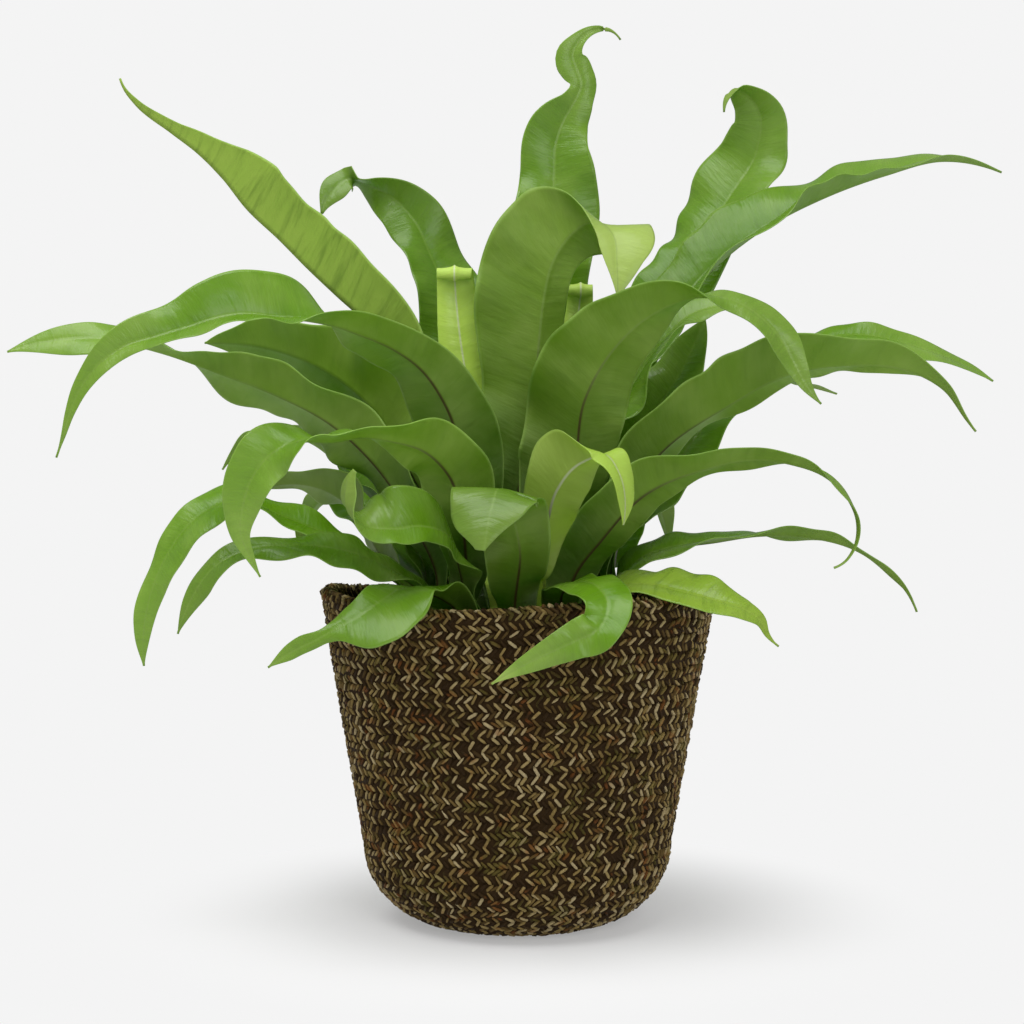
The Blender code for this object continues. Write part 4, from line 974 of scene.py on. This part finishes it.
frond("left_low_outer", 194, 67,
      [(-47, -12, 149), (-63, -20, 164), (-83, -24, 178), (-106, -26, 188), (-128, -30, 196),
       (-146, -32, 187), (-159, -34, 169), (-167, -34, 147), (-169, -32, 121)],
      edges=((0, 4, 4), (0.15, 6, 6), (0.35, 10, 10), (0.55, 14, 13), (0.62, 15, 12), (0.7, 14, 9),
             (0.8, 11, 6), (0.9, 5, 6), (0.95, 3, 4)),
      roll=(0, -20, -25, -25, -45, -60), wave=(2, 1.5, 4, 1))
frond("left_low_inner", 211, 66,
      [(-42, -33, 153), (-58, -43, 166), (-76, -52, 174), (-99, -60, 177), (-119, -66, 175),
       (-133, -68, 167), (-142, -68, 154), (-148, -68, 139)],
      edges=((0.3, 14, 12), (0.42, 18, 13), (0.5, 18, 11), (0.58, 18, 9), (0.63, 14, 8), (0.68, 8, 7),
             (0.73, 6, 6), (0.8, 8, 6), (0.87, 8, 5), (0.93, 4, 3)),
      roll=(0, -25, -30, -25, -50), fold=0.1, wave=(2.5, 2, 4, 0))
frond("left_dark", 169, 68,
      [(-51, 8, 148), (-66, 12, 172), (-80, 14, 193), (-100, 15, 202), (-121, 14, 200)],
      width=40, stem=8, belly=0.55, drip=0.0, roll=(0, 20, 30, 30), wave=(3, 3, 4, 2))
frond("left_over_rim", 246, 69,
      [(-27, -58, 149), (-40, -72, 158), (-49, -84, 160), (-57, -95, 156), (-66, -101, 150),
       (-77, -103, 144), (-84, -103, 140), (-94, -102, 135), (-105, -101, 128)],
      edges=((0, 4, 4), (0.15, 6, 6), (0.35, 13, 12), (0.5, 17, 13), (0.6, 20, 10), (0.67, 21, 8),
             (0.73, 17, 7), (0.78, 6, 4), (0.82, 3, 3), (0.88, 3, 5), (0.93, 3, 4)),
      roll=(0, 0, 5, 0, -20, -20, -20), fold=0.05, wave=(1.5, 1.5, 3, 1))
frond("right_over_rim", 297, 68,
      [(19, -54, 154), (25, -76, 162), (34, -92, 161), (38, -103, 153), (34, -108, 145),
       (24, -109, 140), (11, -109, 134), (-1, -109, 128), (-11, -109, 122)],
      edges=((0, 4, 4), (0.15, 6, 6), (0.35, 11, 11), (0.5, 12, 12), (0.6, 10, 10), (0.7, 9, 9),
             (0.8, 7, 7), (0.9, 4, 4)),
      roll=(0, 0, 15, 50, 60), fold=0.05, wave=(1.5, 1.5, 3, 1))
frond("right_yellow", 323, 67,
      [(35, -44, 152), (48, -53, 159), (55, -58, 160), (72, -65, 157), (85, -70, 154), (98, -73, 150),
       (105, -73, 145), (108, -73, 139), (113, -73, 134)],
      edges=((0, 4, 4), (0.2, 7, 8), (0.35, 14, 12), (0.5, 16, 13), (0.65, 14, 12), (0.78, 10, 9),
             (0.87, 5, 5), (0.92, 2, 2)),
      roll=(0, 10, 20, 25, 30), fold=0.1, wave=(1.5, 1, 3, 1), colour=YELLOW_GREEN)
frond("right_lowest", 348, 70,
      [(43, -14, 144), (48, -17, 159), (57, -19, 169), (70, -22, 174), (89, -24, 177), (110, -24, 180),
       (133, -22, 179), (155, -18, 173), (171, -16, 162), (180, -15, 152), (184, -14, 144)],
      edges=((0, 4, 4), (0.15, 6, 6), (0.25, 11, 12), (0.35, 15, 14), (0.45, 11, 12), (0.55, 8, 9),
             (0.65, 7, 7), (0.75, 5, 5), (0.85, 3, 3), (0.93, 2, 2)),
      roll=(0, 5, 22, -15, -30, -20), wave=(1.5, 1.5, 4, 1))

# The fronds that fill the far side. They are grown like the middle and the lowest ones, and one rule lays
# them all.

BACK_FOOT = 118.0
BACK_STEPS = ((0.3, 0.42), (0.5, 0.76), (0.72, 0.98), (0.88, 0.96))  # shares of the reach and of the rise
LOW_STEPS = ((0.38, 0.38), (0.55, 0.68), (0.74, 0.96), (0.9, 0.94))
BACK_FOLD = 0.25


def back_frond(name, azimuth, polar, reach, top, end, phase, *, width, roll, swing=0, low=False):
    """A frond behind the plant: up, over and down."""
    rise = top - BACK_FOOT
    steps = [(out, BACK_FOOT + climb * rise) for out, climb in (LOW_STEPS if low else BACK_STEPS)]
    route = []
    for out, z in (*steps, (1.0, end)):
        turn = math.radians(azimuth + swing * out)
        route.append((reach * out * math.cos(turn), reach * out * math.sin(turn), z))
    frond(name, azimuth, polar, route, width=width, stem=8, belly=0.5, drip=0.3, roll=roll,
          fold=FOLD if low else BACK_FOLD, wave=(3, 3, 4, phase))


back_frond("back_tall", 82, 44, 205, 322, 312, 3, width=42, roll=(0, 0, 5, 10), swing=6)
back_frond("back_mid_1", 30, 57, 188, 256, 246, 0, width=34, roll=(0, 0, 10, 10))
back_frond("back_mid_2", 58, 59, 190, 258, 236, 1, width=38, roll=(0, 0, -10, 10))
back_frond("back_mid_3", 100, 58, 205, 258, 225, 2, width=42, roll=(0, 0, 10, 0), swing=3)
back_frond("back_mid_4", 130, 56, 195, 266, 240, 3, width=42, roll=(0, 0, -10, 10), swing=-3)
back_frond("back_mid_5", 160, 58, 160, 226, 208, 4, width=36, roll=(0, 0, 10, 10), swing=-4)
back_frond("back_low_1", 51, 69, 142, 194, 166, 5, width=34, roll=(0, 0, 10, 10), swing=5, low=True)
back_frond("back_low_2", 83, 69, 165, 200, 150, 0, width=40, roll=(0, 0, -10, 10), swing=5, low=True)
back_frond("back_low_3", 113, 69, 160, 205, 160, 1, width=38, roll=(0, 0, 10, 0), swing=-4, low=True)
back_frond("back_low_4", 138, 70, 150, 196, 165, 2, width=38, roll=(0, 0, -10, 10), low=True)

# The studio. A plain pale floor that runs off into an equally pale surround, one large soft light overhead
# and a weaker one in front, and a camera where the photographer's stood.

CAMERA = (-0.0025, -1.0, 0.229)  # metres, as all lengths in the studio but the sensor's
CAMERA_PITCH = 2.267  # degrees down
CAMERA_FOCUS = 2147.0  # pixels, in a picture PICTURE pixels across
PICTURE = 1024
SENSOR = 36.0
LIGHT_AIM = (0, 0, 0.2)
FLOOR_RADIUS = 30
FLOOR_SIDES = 64
FLOOR_Z = -0.0005
SHADE_HOLD = 0.07  # the floor keeps its full shade to this far from the middle
SHADE_REACH = 0.2  # and none from here on
PAPER = 0.905  # linear tone of the surround
ROOM = 0.45  # light that the surround gives back
GLOW = 0.35  # share of the floor's tone that stays in the shade


def studio_floor():
    mesh = bpy.data.meshes.new("studio_floor")
    turns = np.linspace(0, 2 * math.pi, FLOOR_SIDES, endpoint=False)
    ring = [(FLOOR_RADIUS * math.cos(a), FLOOR_RADIUS * math.sin(a), FLOOR_Z) for a in turns]
    mesh.from_pydata(ring, [], [list(range(FLOOR_SIDES))])
    floor = add_object("studio_floor", mesh)
    material, tree, shader = new_material("floor_paper")
    place = add_node(tree, "ShaderNodeTexCoord").outputs["Object"]
    away = set_inputs(tree, add_node(tree, "ShaderNodeVectorMath", operation="LENGTH"), Vector=place)
    far = fade(tree, away.outputs["Value"], SHADE_HOLD, SHADE_REACH)
    set_inputs(tree, shader, Base_Color=(0.8, 0.8, 0.8, 1.0), Roughness=0.9)
    paper = wired(tree, "ShaderNodeEmission", Color=(PAPER, PAPER, PAPER, 1.0), Strength=1.0)
    mix_shaders(tree, maths(tree, "MULTIPLY_ADD", far, 1 - GLOW, GLOW), shader, paper)
    mesh.materials.append(material)


def soft_light(name, place, size, power):
    lamp = bpy.data.lights.new(name, "AREA")
    lamp.shape = "DISK"
    lamp.size = size
    lamp.energy = power
    light = add_object(name, lamp)
    light.location = place
    ray = mathutils.Vector(LIGHT_AIM) - mathutils.Vector(place)
    light.rotation_euler = ray.to_track_quat("-Z", "Y").to_euler()


def studio_world():
    """Pale to the camera, and dimmer as a light, so that the lamps shape the leaves."""
    world = bpy.data.worlds.new("surround")
    world.use_nodes = True
    tree = world.node_tree
    seen = add_node(tree, "ShaderNodeLightPath").outputs["Is Camera Ray"]
    tone = maths(tree, "MULTIPLY_ADD", seen, PAPER - ROOM, ROOM)
    set_inputs(tree, tree.nodes["Background"], Color=(1.0, 1.0, 1.0, 1.0), Strength=tone)
    bpy.context.scene.world = world


def studio_camera():
    lens = bpy.data.cameras.new("camera")
    lens.sensor_width = SENSOR
    lens.lens = CAMERA_FOCUS * SENSOR / PICTURE
    lens.clip_end = 100
    camera = add_object("camera", lens)
    camera.location = CAMERA
    camera.rotation_euler = (math.pi / 2 - math.radians(CAMERA_PITCH), 0.0, 0.0)
    bpy.context.scene.camera = camera


studio_floor()
soft_light("overhead_light", place=(-0.3, -0.4, 1.5), size=1.3, power=22)
soft_light("front_light", place=(0.5, -1.7, 0.9), size=0.9, power=9)
studio_world()
studio_camera()
bpy.context.scene.view_settings.view_transform = "Standard"
